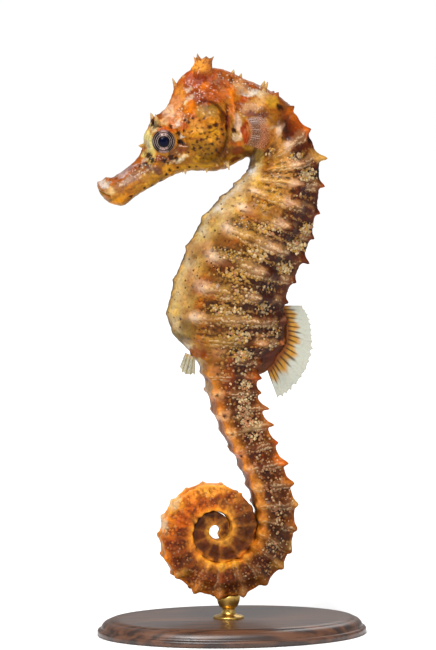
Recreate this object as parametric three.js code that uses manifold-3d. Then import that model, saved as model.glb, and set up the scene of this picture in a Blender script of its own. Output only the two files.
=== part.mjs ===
// A seahorse at life size, head bent down and tail curled forwards, as a still museum model on a plain stand.
// Millimetres, +Z up. The animal faces -X and its median plane is Y = 0. The origin is the centre of the
// stand's underside.
//
// The body is one long loft. Its sections are ribs: each runs from a point on the back to a point on the belly
// in the median plane, and the bony rings of trunk and tail are numbered along it. Ring 0 is at the nape, 1 to
// 11 are the trunk, 12 to 50 the tail, and the negative numbers are stations of the head, down to the mouth
// at -19.

import * as THREE from "three";
import { mergeVertices } from "three/addons/utils/BufferGeometryUtils.js";
import Module from "manifold-3d";

const wasm = await Module();
wasm.setup();

// ---------------------------------------------------------------- driving dimensions

const GAP = 0.3; // clearance where two pieces meet
const FIN_THICKNESS = 0.6;

// Ribs: ring, back x, back z, belly x, belly z, half width. Between them the body follows smooth curves.
const RIBS = [
  [-19, -22.8, 77.3, -22.2, 74.9, 1.5],
  [-18, -21.6, 77.8, -20.9, 73.7, 2.0],
  [-17, -20.4, 78.1, -19.1, 73.2, 2.1],
  [-15, -17.8, 79.7, -15.9, 75.2, 2.05],
  [-13, -15.7, 82.0, -12.4, 77.1, 2.4],
  [-11, -14.6, 85.7, -9.1, 78.6, 2.9],
  [-10, -13.7, 87.8, -7.6, 78.9, 3.1],
  [-9, -11.7, 89.2, -6.0, 78.95, 3.3],
  [-8, -10.5, 91.1, -4.7, 78.9, 3.6],
  [-7, -9.7, 93.3, -3.5, 78.85, 3.9],
  [-6, -8.1, 95.4, -2.2, 78.95, 4.2],
  [-5, -6.0, 96.1, -1.0, 79.35, 4.4],
  [-3, -1.0, 95.8, 1.4, 80.6, 4.4],
  [-2, 1.7, 94.5, 2.2, 81.0, 4.35],
  [-1, 4.4, 93.4, 2.8, 81.0, 4.3],
  [1, 10.0, 89.7, 3.0, 80.0, 4.6],
  [3, 14.5, 81.1, 2.5, 78.8, 5.2],
  [5, 14.2, 71.9, 0.35, 76.7, 5.8],
  [7, 11.9, 63.8, -5.2, 71.1, 6.5],
  [9, 8.8, 56.8, -10.2, 60.5, 6.9],
  [10, 8.5, 53.4, -11.5, 54.9, 6.6],
  [11, 8.0, 49.7, -10.1, 51.0, 5.9],
  [12, 4.0, 46.6, -6.9, 47.6, 4.9],
  [13, 4.0, 44.0, -5.1, 44.4, 4.3],
  [14, 4.1, 41.5, -4.3, 41.3, 4.05],
  [15, 4.7, 38.9, -3.3, 37.9, 3.9],
  [16, 5.7, 36.0, -1.9, 34.5, 3.8],
  [18, 8.3, 29.4, 1.4, 28.3, 3.6],
  [20, 10.5, 22.2, 3.7, 22.1, 3.45],
  [22, 9.7, 14.3, 4.1, 17.4, 3.35],
];

// The coil: the spiral's centre, at each quarter turn from its start the centreline's radius and the tail's
// depth, and the degrees turned by some of its rings, which follow closer on one another as they shrink.
const COIL = {
  firstRing: 23,
  lastRing: 49,
  x: -3.0,
  z: 17.75,
  radius: [10.3, 8.2, 6.5, 5.6, 4.65, 3.35, 2.42, 1.98, 1.6, 1.2],
  depth: [6.6, 5.7, 5.0, 4.3, 4.05, 3.35, 2.55, 2.0, 1.4, 0.7],
  turn: {
    22: 10, 23: 27, 24: 45, 26: 86, 28: 130, 30: 172, 32: 212, 34: 255, 36: 301,
    38: 349, 40: 405, 42: 471, 44: 545, 46: 630, 49: 770,
  },
  widthShare: 1.04, // width over depth
  ribTilt: 9, // degrees that a rib leans from the spiral's radius
};

// Section corners, as [share of half width, share of half depth], from the back's middle to the belly's.
// The four after the first are the ridges: upper, side, lower and keel. Then each face's bulge, over its length.
const SECTIONS = {
  snout: [[0, 1], [0.71, 0.7], [1, 0], [0.7, -0.72], [0, -1]],
  eyes: [[0, 1], [0.45, 0.84], [0.98, 0.2], [0.86, -0.52], [0, -1]],
  cheeks: [[0, 1], [0.34, 0.78], [0.8, 0.2], [1, -0.3], [0, -1]],
  nape: [[0, 1], [0.42, 0.9], [0.86, 0.35], [1, -0.35], [0, -1]],
  trunk: [[0, 0.94], [0.46, 1], [1, 0.42], [0.8, -0.48], [0, -1]],
  hip: [[0, 0.92], [0.52, 1], [0.98, 0.58], [0.82, -0.52], [0, -1]],
  tail: [[0, 0.88], [0.74, 1], [0.98, 0.1], [0.84, -0.84], [0, -1]],
};
const BULGES = {
  snout: [0.1, 0.1, 0.1, 0.1],
  eyes: [0.03, 0.06, 0.08, 0.1],
  cheeks: [0.05, 0.03, 0.06, 0.15],
  nape: [0.02, 0.05, 0.06, 0.15],
  trunk: [-0.04, -0.03, 0.06, 0.03],
  hip: [-0.03, -0.03, 0.04, 0.03],
  tail: [-0.03, -0.03, -0.02, 0.02],
};
const SECTION_AT = [
  [-19, "snout"], [-14, "snout"], [-11, "eyes"], [-7, "cheeks"], [-4, "cheeks"],
  [-1, "nape"], [3, "trunk"], [9.5, "trunk"], [11, "hip"], [13, "tail"], [50, "tail"],
];

// Ring relief: each ring stands proud in its middle and is waisted where it meets the next.
const RING_RELIEF = 0.2;
const FIRST_RING = 1;

// Tubercles by ridge: the usual height, the rings that carry them, and the few that are larger.
const TUBERCLES = {
  1: { from: 0, to: 36, height: 0.6, lean: 0.3 },
  2: { from: 1, to: 11, height: 0.75, lean: 0.1 },
  3: { from: 2, to: 47, height: 0.42, lean: 0.05 },
  4: { from: 5, to: 10, height: 0.25, lean: 0 },
};
const LARGER_TUBERCLES = {
  1: { 0: 1.0, 3: 1.6, 4: 0.9, 7: 1.1, 15: 1.5, 16: 1.3, 18: 1.1 },
  2: { 3: 0.95, 7: 1.0, 11: 1.2 },
  3: { 7: 0.55, 10: 0.6, 12: 0.7 },
  4: { 9: 0.35 },
};
const TUBERCLE_LENGTH = 0.28; // in rings, from the peak to the foot
const COIL_SHRINK_FROM = 18; // tubercles get smaller with the tail from this ring on

// Spines of the head: base x, y, z, tip x, y, z and base radius. Those with y over 0 come in pairs.
const HEAD_SPINES = [
  { base: [-15.0, 0, 83.2], tip: [-16.1, 0, 83.3], radius: 0.7 }, // nose
  { base: [-9.4, 0, 92.6], tip: [-10.3, 0, 94.8], radius: 0.75 }, // forehead
  { base: [-12.9, 1.7, 86.3], tip: [-13.5, 2.4, 88.7], radius: 0.95 }, // above the eye
  { base: [-1.6, 1.5, 82.0], tip: [-0.95, 2.6, 79.1], radius: 1.0 }, // cheek
  { base: [-4.5, 1.1, 81.2], tip: [-4.6, 1.7, 78.7], radius: 0.85 }, // jaw, behind
  { base: [-8.2, 0.9, 80.6], tip: [-8.2, 1.3, 78.35], radius: 0.8 }, // jaw, in front
  { base: [5.0, 1.2, 92.0], tip: [5.9, 1.4, 93.9], radius: 0.8 }, // nape
];

const CORONET = {
  x: -5.0,
  z: 95.2, // where its axis meets the crown of the head
  lean: 4, // degrees backwards
  height: 2.6,
  foot: [2.5, 1.9], // half length and half width at its foot
  waist: [1.65, 1.15],
  brim: [1.6, 1.3],
  points: [0.75, 0.3, 0.5, 0.3, 0.45], // their heights, from the front round
  pointOut: 0.35, // how far a point flares past the brim
  cup: 0.6, // depth of the hollow in its top
};

const EYE = { x: -12.2, y: 2.35, z: 84.2, radius: 1.9 };
const SOCKET_RADIUS = 2.15;

const MOUTH = { x: -22.9, z: 75.5, length: 1.7, width: 2.2, height: 0.4, angle: 38 };

// The back fin stands on a fleshy root, a median swelling of the back that is tallest behind the hip.
const BACK_FIN = {
  firstRing: 9.3,
  lastRing: 12.6,
  rays: 18,
  rayLengths: [3.6, 4.3, 4.75, 5.3, 5.95, 5.35],
  rayAngles: [8, -2, -12, -28, -50, -66], // from the rib, at even steps from the first ray to the last
  notch: 0.12,
};
const BACK_FIN_ROOT = {
  9.1: 0, 9.5: 0.9, 10: 1.5, 10.5: 1.7, 11: 2.0, 11.5: 3.1, 12: 3.7, 12.5: 3.1, 12.8: 1.9, 13: 0,
};
const VENT_FIN = { x: -7.2, z: 47.2, rootHalf: 0.8, length: 3.1, spread: 16, rays: 4, lean: 8 };
const SIDE_FIN = {
  x: 2.35, y: 4.75, z: 85.5, rootHalf: 2.2, length: 3.7, spread: 14, rays: 15, outwards: 16, tilt: 4,
};

const BASE = { halfLength: 23, halfWidth: 17, height: 2.6, rounding: 0.6, x: 0, y: 0 };
const ROD = {
  x: -0.6, radius: 1.1, collarRadius: 2.6, collarHeight: 0.7, cupRadius: 2.0, cupZ: 4.4, topZ: 8.2,
};

const SKIN = { bodyOrange: 0xb9732e, headOrange: 0xc07a30, trunkOchre: 0xb98a4a, tailRust: 0xa8642a };

// ---------------------------------------------------------------- curves

// A smooth curve through points at uneven steps: a cubic on each step, its slopes taken from the neighbours.
function smoothCurve(xs, ys) {
  const slope = xs.map((x, i) => {
    if (i === 0) return (ys[1] - ys[0]) / (xs[1] - x);
    if (i === xs.length - 1) return (ys[i] - ys[i - 1]) / (x - xs[i - 1]);
    const before = x - xs[i - 1];
    const after = xs[i + 1] - x;
    return ((ys[i] - ys[i - 1]) / before * after + (ys[i + 1] - ys[i]) / after * before) / (before + after);
  });
  return (x) => {
    let i = 0;
    while (i < xs.length - 2 && x >= xs[i + 1]) i += 1;
    const h = xs[i + 1] - xs[i];
    const t = (x - xs[i]) / h;
    const u = 1 - t;
    const level = u * u * (1 + 2 * t) * ys[i] + t * t * (3 - 2 * t) * ys[i + 1];
    return level + t * u * h * (u * slope[i] - t * slope[i + 1]);
  };
}

const degrees = THREE.MathUtils.degToRad;
const quarters = COIL.radius.map((_, i) => i);
const coilRadius = smoothCurve(quarters, COIL.radius);
const coilDepth = smoothCurve(quarters, COIL.depth);

const coilAngle = smoothCurve(Object.keys(COIL.turn).map(Number), Object.values(COIL.turn));

// A rib of the coil, as a row of RIBS.
function coilRib(ring) {
  const angle = coilAngle(ring);
  const quarter = THREE.MathUtils.clamp(angle / 90, 0, COIL.radius.length - 1);
  const radius = coilRadius(quarter);
  const half = coilDepth(quarter) / 2;
  const round = degrees(angle);
  const lean = degrees(angle + COIL.ribTilt);
  const x = COIL.x + radius * Math.cos(round);
  const z = COIL.z - radius * Math.sin(round);
  const dx = half * Math.cos(lean);
  const dz = -half * Math.sin(lean);
  return [ring, x + dx, z + dz, x - dx, z - dz, half * COIL.widthShare];
}

const ribs = [...RIBS];
for (let ring = COIL.firstRing; ring <= COIL.lastRing; ring += 1) ribs.push(coilRib(ring));
const ringNumbers = ribs.map((rib) => rib[0]);
const [backX, backZ, bellyX, bellyZ, halfWidth] = [1, 2, 3, 4, 5].map((column) =>
  smoothCurve(ringNumbers, ribs.map((rib) => rib[column])),
);

// ---------------------------------------------------------------- sections

// The rib at a ring: its middle, the unit vector to the back, half its depth and half the width there.
function ribAt(ring) {
  const back = new THREE.Vector3(backX(ring), 0, backZ(ring));
  const belly = new THREE.Vector3(bellyX(ring), 0, bellyZ(ring));
  const up = back.clone().sub(belly);
  const halfDepth = up.length() / 2;
  const middle = back.clone().add(belly).multiplyScalar(0.5);
  return { middle, up: up.normalize(), halfDepth, halfWidth: halfWidth(ring) };
}

// The section's form at a ring, blended between the two named forms on either side.
function formAt(ring) {
  let i = 0;
  while (i < SECTION_AT.length - 2 && ring >= SECTION_AT[i + 1][0]) i += 1;
  const [from, fromName] = SECTION_AT[i];
  const [to, toName] = SECTION_AT[i + 1];
  const share = THREE.MathUtils.smoothstep(ring, from, to);
  const mix = (a, b) => a + (b - a) * share;
  const [a, b] = [SECTIONS[fromName], SECTIONS[toName]];
  return {
    corners: a.map((corner, k) => corner.map((value, axis) => mix(value, b[k][axis]))),
    bulge: BULGES[fromName].map((value, k) => mix(value, BULGES[toName][k])),
  };
}

// How far the ring stands proud, from 1 at its middle to 0 where it meets the next.
const ringSwell = (ring) => (ring < FIRST_RING - 0.5 ? 0 : Math.cos(Math.PI * (ring - Math.round(ring))) ** 2);

// The height of a ridge's tubercle at a place along it.
function tubercleHeight(ridge, ring) {
  const row = TUBERCLES[ridge];
  const nearest = Math.round(ring);
  if (nearest < row.from || nearest > row.to) return 0;
  const shrink = nearest < COIL_SHRINK_FROM ? 1 : halfWidth(nearest) / halfWidth(COIL_SHRINK_FROM);
  const foot = Math.abs(ring - nearest) / TUBERCLE_LENGTH;
  return (LARGER_TUBERCLES[ridge][nearest] ?? row.height) * shrink * Math.max(0, 1 - foot);
}

const finRootRings = Object.keys(BACK_FIN_ROOT).map(Number).sort((a, b) => a - b);
const finRootCurve = smoothCurve(finRootRings, finRootRings.map((ring) => BACK_FIN_ROOT[ring]));
const hasFinRoot = (ring) => ring > finRootRings[0] && ring < finRootRings.at(-1);
const finRootHeight = (ring) => (hasFinRoot(ring) ? finRootCurve(ring) : 0);

// Points of the left half section, from the back's middle to the belly's middle, each face in `cuts` steps.
// Returned as [y, height along the rib, push along the body].
function halfSection(ring, cuts, offset) {
  const rib = ribAt(ring);
  const form = formAt(ring);
  const swell = ring < FIRST_RING - 0.5 ? 0 : ringSwell(ring) - 0.5;
  const relief = RING_RELIEF * Math.min(1, rib.halfWidth / 3) * swell;
  const corners = form.corners.map(([w, u]) => new THREE.Vector2(w * rib.halfWidth, u * rib.halfDepth));
  const points = [];
  for (let face = 0; face < corners.length - 1; face += 1) {
    const [a, b] = [corners[face], corners[face + 1]];
    const along = b.clone().sub(a);
    const out = new THREE.Vector2(-along.y, along.x);
    for (let k = 0; k < cuts + (face === 3 ? 1 : 0); k += 1) {
      const t = k / cuts;
      const p = a.clone().addScaledVector(along, t).addScaledVector(out, form.bulge[face] * 4 * t * (1 - t));
      const away = p.clone().normalize();
      p.addScaledVector(away, relief + offset);
      let push = 0;
      if (k === 0 && face > 0) {
        const height = tubercleHeight(face, ring);
        p.addScaledVector(away, height);
        push = height * TUBERCLES[face].lean;
      }
      if (k === cuts) p.addScaledVector(away, tubercleHeight(4, ring));
      if (k === 0 && face === 0) p.addScaledVector(away, finRootHeight(ring));
      points.push([p.x, p.y, push]);
    }
  }
  return points;
}

// The whole section as points in space: down the left side and back up the right.
function sectionAt(ring, cuts, offset = 0) {
  const rib = ribAt(ring);
  const along = new THREE.Vector3(0, 1, 0).cross(rib.up);
  const half = halfSection(ring, cuts, offset);
  const place = ([y, u, push], side) => {
    const p = rib.middle.clone().addScaledVector(rib.up, u).addScaledVector(along, push);
    p.y += side * y;
    return p;
  };
  const left = half.map((p) => place(p, -1));
  const right = half.slice(1, -1).reverse().map((p) => place(p, 1));
  return { points: [...left, ...right], middle: rib.middle, along };
}

// ---------------------------------------------------------------- solids

// A manifold-3d solid from a closed mesh, turned the right way out.
function solidFrom(positions, faces) {
  const vertProperties = new Float32Array(positions.flat());
  const build = (triangles) => {
    const triVerts = new Uint32Array(triangles.flat());
    return new wasm.Manifold(new wasm.Mesh({ numProp: 3, vertProperties, triVerts }));
  };
  const made = build(faces);
  return made.volume() > 0 ? made : build(faces.map(([a, b, c]) => [a, c, b]));
}

// The same from a three.js geometry.
function solidOf(geometry) {
  const bare = geometry.clone();
  bare.deleteAttribute("normal");
  bare.deleteAttribute("uv");
  const merged = mergeVertices(bare, 1e-4);
  const position = merged.getAttribute("position");
  const pointAt = (_, i) => [position.getX(i), position.getY(i), position.getZ(i)];
  const points = Array.from({ length: position.count }, pointAt);
  const index = Array.from(merged.index.array);
  const faces = [];
  for (let i = 0; i < index.length; i += 3) faces.push(index.slice(i, i + 3));
  return solidFrom(points, faces);
}

function geometryOf(solid) {
  const mesh = solid.getMesh();
  const positions = new Float32Array(mesh.numVert * 3);
  for (let i = 0; i < mesh.numVert; i += 1) {
    positions.set(mesh.vertProperties.subarray(i * mesh.numProp, i * mesh.numProp + 3), i * 3);
  }
  const geometry = new THREE.BufferGeometry();
  geometry.setAttribute("position", new THREE.BufferAttribute(positions, 3));
  geometry.setIndex(new THREE.BufferAttribute(mesh.triVerts, 1));
  geometry.computeVertexNormals();
  return geometry;
}

// A closed loft through equal rings of points. An end closes on its middle, pushed out by a dome's height.
function loft(sections, domes = [0, 0]) {
  const count = sections[0].points.length;
  const positions = sections.flatMap((section) => section.points.map((p) => p.toArray()));
  const faces = [];
  for (let s = 0; s < sections.length - 1; s += 1) {
    for (let i = 0; i < count; i += 1) {
      const j = (i + 1) % count;
      const [a, b, c, d] = [s * count + i, s * count + j, (s + 1) * count + j, (s + 1) * count + i];
      faces.push([a, b, c], [a, c, d]);
    }
  }
  [[0, -1], [sections.length - 1, 1]].forEach(([s, way], end) => {
    const { middle, along } = sections[s];
    const tip = positions.length;
    positions.push(middle.clone().addScaledVector(along, way * domes[end]).toArray());
    for (let i = 0; i < count; i += 1) {
      const edge = [s * count + i, s * count + ((i + 1) % count)];
      faces.push(end === 0 ? [edge[1], edge[0], tip] : [edge[0], edge[1], tip]);
    }
  });
  return solidFrom(positions, faces);
}

// Sections of the body from one ring to another. Each end is drawn back by half the gap, along the body.
function bodySections(from, to, stops, cuts, offset = 0, trim = [GAP / 2, GAP / 2]) {
  const inside = stops.filter((ring) => ring > from + 0.05 && ring < to - 0.05);
  const sections = inside.map((ring) => sectionAt(ring, cuts, offset));
  const ends = [sectionAt(from, cuts, offset), sectionAt(to, cuts, offset)];
  ends.forEach((section, end) => {
    const back = section.along.clone().multiplyScalar(end === 0 ? trim[0] : -trim[1]);
    section.points.forEach((p) => p.add(back));
    section.middle = section.middle.clone().add(back);
  });
  return [ends[0], ...sections, ends[1]];
}

const HEAD_STOPS = [
  -18.5, -18, -17, -16, -15, -14, -13, -12, -11, -10.3, -9.6, -9, -8, -7, -6.2, -5.4, -4.6, -3.8, -3, -2, -1,
];
const ringStops = (first, last, places) => {
  const stops = [];
  for (let ring = first; ring <= last; ring += 1) places.forEach((place) => stops.push(ring + place));
  return stops;
};
const BODY_STOPS = [
  ...HEAD_STOPS,
  ...ringStops(0, 34, [-0.5, -TUBERCLE_LENGTH, 0, TUBERCLE_LENGTH]),
  ...ringStops(35, COIL.lastRing, [-0.5, 0]),
];

// ---------------------------------------------------------------- pieces of the body

const FACE_CUTS = { head: 2, trunk: 2, tail: 2, tip: 1 };

const bodyLength = (from, to, cuts, domes, trim) =>
  loft(bodySections(from, to, BODY_STOPS, cuts, 0, trim), domes);

// A cone with a blunt tip, its foot sunk in the surface it grows from.
function spine({ base, tip, radius }, side) {
  const foot = new THREE.Vector3(base[0], side * base[1], base[2]);
  const end = new THREE.Vector3(tip[0], side * tip[1], tip[2]);
  const length = foot.distanceTo(end);
  const cone = new THREE.CylinderGeometry(0.12, radius, length, 7, 1);
  cone.translate(0, length / 2, 0);
  const pointing = end.clone().sub(foot).normalize();
  const turn = new THREE.Quaternion().setFromUnitVectors(new THREE.Vector3(0, 1, 0), pointing);
  cone.applyQuaternion(turn);
  cone.translate(foot.x, foot.y, foot.z);
  return solidOf(cone);
}

function eyeball(side, radius) {
  const ball = new THREE.SphereGeometry(radius, 16, 10);
  ball.rotateX(Math.PI / 2);
  ball.translate(EYE.x, side * EYE.y, EYE.z);
  return solidOf(ball);
}

function makeSnout() {
  const tube = bodyLength(-19, -13, FACE_CUTS.head, [0.5, 0], [0, GAP / 2]);
  const slit = new THREE.BoxGeometry(MOUTH.length, MOUTH.width, MOUTH.height);
  slit.rotateY(degrees(MOUTH.angle));
  slit.translate(MOUTH.x, 0, MOUTH.z);
  return tube.subtract(solidOf(slit));
}

function makeHead() {
  let head = bodyLength(-13, -2, FACE_CUTS.head, [0, 0]);
  for (const one of HEAD_SPINES.slice(0, -1)) {
    for (const side of one.base[1] > 0 ? [-1, 1] : [1]) head = head.add(spine(one, side));
  }
  for (const side of [-1, 1]) head = head.subtract(eyeball(side, SOCKET_RADIUS));
  return head.subtract(bodyEnvelope(-14.5, -13 + 0.001)).subtract(bodyEnvelope(-2, 0));
}

function makeNeck() {
  let neck = bodyLength(-2, 1.5, FACE_CUTS.trunk, [0, 0]);
  const nape = HEAD_SPINES.at(-1);
  for (const side of [-1, 1]) neck = neck.add(spine(nape, side));
  return neck;
}

// A stretch of the body grown by the gap, for cutting clearance in what rests on it.
function bodyEnvelope(from, to) {
  return loft(bodySections(from, to, BODY_STOPS, FACE_CUTS.trunk, GAP, [-GAP / 4, -GAP / 4]));
}

// The crown: an oval column that narrows to a waist and flares to a brim of points round a shallow cup.
function makeCoronet() {
  const { points, pointOut, foot, waist, brim, height } = CORONET;
  const count = points.length * 4;
  const levels = [
    { rise: -1.2, size: foot, star: 0 },
    { rise: height * 0.2, size: foot, star: 0 },
    { rise: height * 0.65, size: waist, star: 0.2 },
    { rise: height, size: brim, star: 1 },
  ];
  const up = new THREE.Vector3(Math.sin(degrees(CORONET.lean)), 0, Math.cos(degrees(CORONET.lean)));
  const ahead = new THREE.Vector3(-up.z, 0, up.x);
  const root = new THREE.Vector3(CORONET.x, 0, CORONET.z);
  const sections = levels.map(({ rise, size, star }) => {
    const ring = Array.from({ length: count }, (_, i) => {
      const angle = (2 * Math.PI * i) / count;
      const lobe = Math.max(0, Math.cos(points.length * angle)) * star;
      const p = root.clone().addScaledVector(up, rise + points[Math.round(i / 4) % points.length] * lobe);
      p.addScaledVector(ahead, (size[0] + pointOut * lobe) * Math.cos(angle));
      p.y += (size[1] + pointOut * lobe) * Math.sin(angle);
      return p;
    });
    return { points: ring, middle: root.clone().addScaledVector(up, rise), along: up };
  });
  return loft(sections, [0, -CORONET.cup]).subtract(bodyEnvelope(-9, -1));
}

// ---------------------------------------------------------------- fins

// A flat outline in the X-Z plane, given thickness along Y and standing astride Y = 0.
function finPlate(outline, thickness) {
  const shape = new THREE.Shape(outline.map(([x, z]) => new THREE.Vector2(x, z)));
  const plate = new THREE.ExtrudeGeometry(shape, { depth: thickness, bevelEnabled: false, steps: 1 });
  plate.rotateX(Math.PI / 2);
  plate.translate(0, thickness / 2, 0);
  return plate;
}

// The back fin: rays stand on the back's middle line and fan out; its edge is notched between them.
function makeBackFin() {
  const { firstRing, lastRing, rays, rayLengths, rayAngles, notch } = BACK_FIN;
  const steps = rayLengths.map((_, i) => i / (rayLengths.length - 1));
  const length = smoothCurve(steps, rayLengths);
  const angle = smoothCurve(steps, rayAngles);
  const root = [];
  const edge = [];
  for (let i = 0; i <= 2 * (rays - 1); i += 1) {
    const t = i / (2 * (rays - 1));
    const ring = firstRing + (lastRing - firstRing) * t;
    const rib = ribAt(ring);
    const [, height] = halfSection(ring, 1, GAP)[0];
    const foot = rib.middle.clone().addScaledVector(rib.up, height);
    const ray = rib.up.clone().applyAxisAngle(new THREE.Vector3(0, -1, 0), degrees(angle(t)));
    const tip = foot.clone().addScaledVector(ray, length(t) - (i % 2 ? notch : 0));
    if (i % 2 === 0) root.push([foot.x, foot.z]);
    edge.push([tip.x, tip.z]);
  }
  return solidOf(finPlate([...root, ...edge.reverse()], FIN_THICKNESS));
}

// A small fan of rays from a straight root: its own frame has the root along Z and the rays along X.
function fanOutline({ rootHalf, length, spread, rays }) {
  const edge = [];
  for (let i = 0; i <= 2 * (rays - 1); i += 1) {
    const t = i / (rays - 1) - 1;
    const angle = degrees(spread * t);
    const reach = length * (1 - 0.12 * t * t) - (i % 2 ? 0.1 : 0);
    edge.push([reach * Math.cos(angle), rootHalf * t + reach * Math.sin(angle)]);
  }
  return [[0, rootHalf], [-0.25, 0], [0, -rootHalf], ...edge];
}

function makeVentFin() {
  const fan = finPlate(fanOutline(VENT_FIN), FIN_THICKNESS);
  fan.rotateY(degrees(90 + VENT_FIN.lean));
  fan.translate(VENT_FIN.x, 0, VENT_FIN.z);
  return solidOf(fan).subtract(bodyEnvelope(10.5, 13.5));
}

function makeSideFin(side) {
  const fan = finPlate(fanOutline(SIDE_FIN), FIN_THICKNESS);
  fan.rotateY(degrees(SIDE_FIN.tilt));
  fan.rotateZ(degrees(side * SIDE_FIN.outwards));
  fan.translate(SIDE_FIN.x, side * SIDE_FIN.y, SIDE_FIN.z);
  return solidOf(fan).subtract(bodyEnvelope(-3, 2.5));
}

// ---------------------------------------------------------------- stand

function makeBase() {
  const { halfLength, halfWidth: halfDeep, height, rounding } = BASE;
  const outline = new THREE.Shape();
  outline.absellipse(0, 0, halfLength - rounding, halfDeep - rounding, 0, 2 * Math.PI);
  const slab = new THREE.ExtrudeGeometry(outline, {
    depth: height - 2 * rounding,
    bevelThickness: rounding,
    bevelSize: rounding,
    bevelSegments: 2,
    curveSegments: 24,
  });
  slab.translate(BASE.x, BASE.y, rounding);
  return solidOf(slab);
}

// The rod: a collar on the base, a stem, and a cup hollowed to the tail's underside.
function makeRod() {
  const { x, radius, collarRadius, collarHeight, cupRadius, cupZ, topZ } = ROD;
  const profile = [
    [0, BASE.height], [collarRadius, BASE.height], [collarRadius, BASE.height + collarHeight * 0.6],
    [collarRadius - 0.4, BASE.height + collarHeight], [radius, BASE.height + collarHeight],
    [radius, cupZ], [cupRadius, cupZ + 1.3], [cupRadius, topZ], [0, topZ],
  ].map(([r, z]) => new THREE.Vector2(r, z));
  const stem = new THREE.LatheGeometry(profile, 24);
  stem.rotateX(Math.PI / 2);
  stem.translate(x, 0, 0);
  return solidOf(stem).subtract(bodyEnvelope(23, 28.5));
}

// ---------------------------------------------------------------- the part

const part = new THREE.Group();

function addPiece(name, solid, color, roughness = 0.45, metalness = 0) {
  const material = new THREE.MeshStandardMaterial({ color, roughness, metalness });
  const mesh = new THREE.Mesh(geometryOf(solid), material);
  mesh.name = name;
  part.add(mesh);
}

addPiece("snout", makeSnout(), SKIN.headOrange);
addPiece("head", makeHead(), SKIN.headOrange);
addPiece("coronet", makeCoronet(), SKIN.headOrange);
addPiece("eye_left", eyeball(-1, EYE.radius), 0x2a1d16, 0.08);
addPiece("eye_right", eyeball(1, EYE.radius), 0x2a1d16, 0.08);
addPiece("neck", makeNeck(), SKIN.bodyOrange);

// Lengths of trunk and tail: name, first ring, last ring, face cuts, colour.
const LENGTHS = [
  ["trunk_upper", 1.5, 6.5, FACE_CUTS.trunk, SKIN.trunkOchre],
  ["trunk_lower", 6.5, 11.5, FACE_CUTS.trunk, SKIN.trunkOchre],
  ["tail_root", 11.5, 15.5, FACE_CUTS.tail, SKIN.tailRust],
  ["tail_upper", 15.5, 19.5, FACE_CUTS.tail, SKIN.tailRust],
  ["tail_bend", 19.5, 23.5, FACE_CUTS.tail, SKIN.tailRust],
  ["tail_coil_bottom", 23.5, 27.5, FACE_CUTS.tail, SKIN.tailRust],
  ["tail_coil_front", 27.5, 31.5, FACE_CUTS.tail, SKIN.tailRust],
  ["tail_coil_top", 31.5, 35.5, FACE_CUTS.tail, SKIN.tailRust],
  ["tail_inner_back", 35.5, 39.5, FACE_CUTS.tip, SKIN.tailRust],
  ["tail_inner_bottom", 39.5, 43.5, FACE_CUTS.tip, SKIN.tailRust],
];
for (const [name, from, to, cuts, color] of LENGTHS) addPiece(name, bodyLength(from, to, cuts), color);
addPiece("tail_tip", bodyLength(43.5, COIL.lastRing, FACE_CUTS.tip, [0, 0.3], [GAP / 2, 0]), SKIN.tailRust);

addPiece("back_fin", makeBackFin(), 0xd9d6c4, 0.35);
addPiece("vent_fin", makeVentFin(), 0xd5cfae, 0.35);
addPiece("side_fin_left", makeSideFin(-1), 0xc9a08a, 0.35);
addPiece("side_fin_right", makeSideFin(1), 0xc9a08a, 0.35);

addPiece("stand_base", makeBase(), 0x2b211b, 0.35);
addPiece("stand_rod", makeRod(), 0xb08d57, 0.3, 1);

export default part;
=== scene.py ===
"""A life-size seahorse on a display stand: one skin over the whole animal, with its granules, eyes,
crown, spines and fins, held on a turned base. Sizes are in millimetres until a mesh is made."""

import math

import bpy
import numpy as np
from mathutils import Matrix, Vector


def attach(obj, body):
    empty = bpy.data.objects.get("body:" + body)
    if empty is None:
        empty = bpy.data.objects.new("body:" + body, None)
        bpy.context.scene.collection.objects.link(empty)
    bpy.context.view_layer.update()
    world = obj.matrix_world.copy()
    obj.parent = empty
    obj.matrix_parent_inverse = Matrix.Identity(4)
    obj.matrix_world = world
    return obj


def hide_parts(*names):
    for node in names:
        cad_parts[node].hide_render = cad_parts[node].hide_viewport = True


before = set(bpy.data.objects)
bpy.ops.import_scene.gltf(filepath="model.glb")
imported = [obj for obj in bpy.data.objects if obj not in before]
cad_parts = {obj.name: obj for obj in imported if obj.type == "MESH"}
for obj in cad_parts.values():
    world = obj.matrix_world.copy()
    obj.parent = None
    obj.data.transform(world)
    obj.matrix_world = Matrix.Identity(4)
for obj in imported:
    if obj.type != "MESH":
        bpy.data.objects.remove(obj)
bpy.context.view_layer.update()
MM = 0.001

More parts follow.
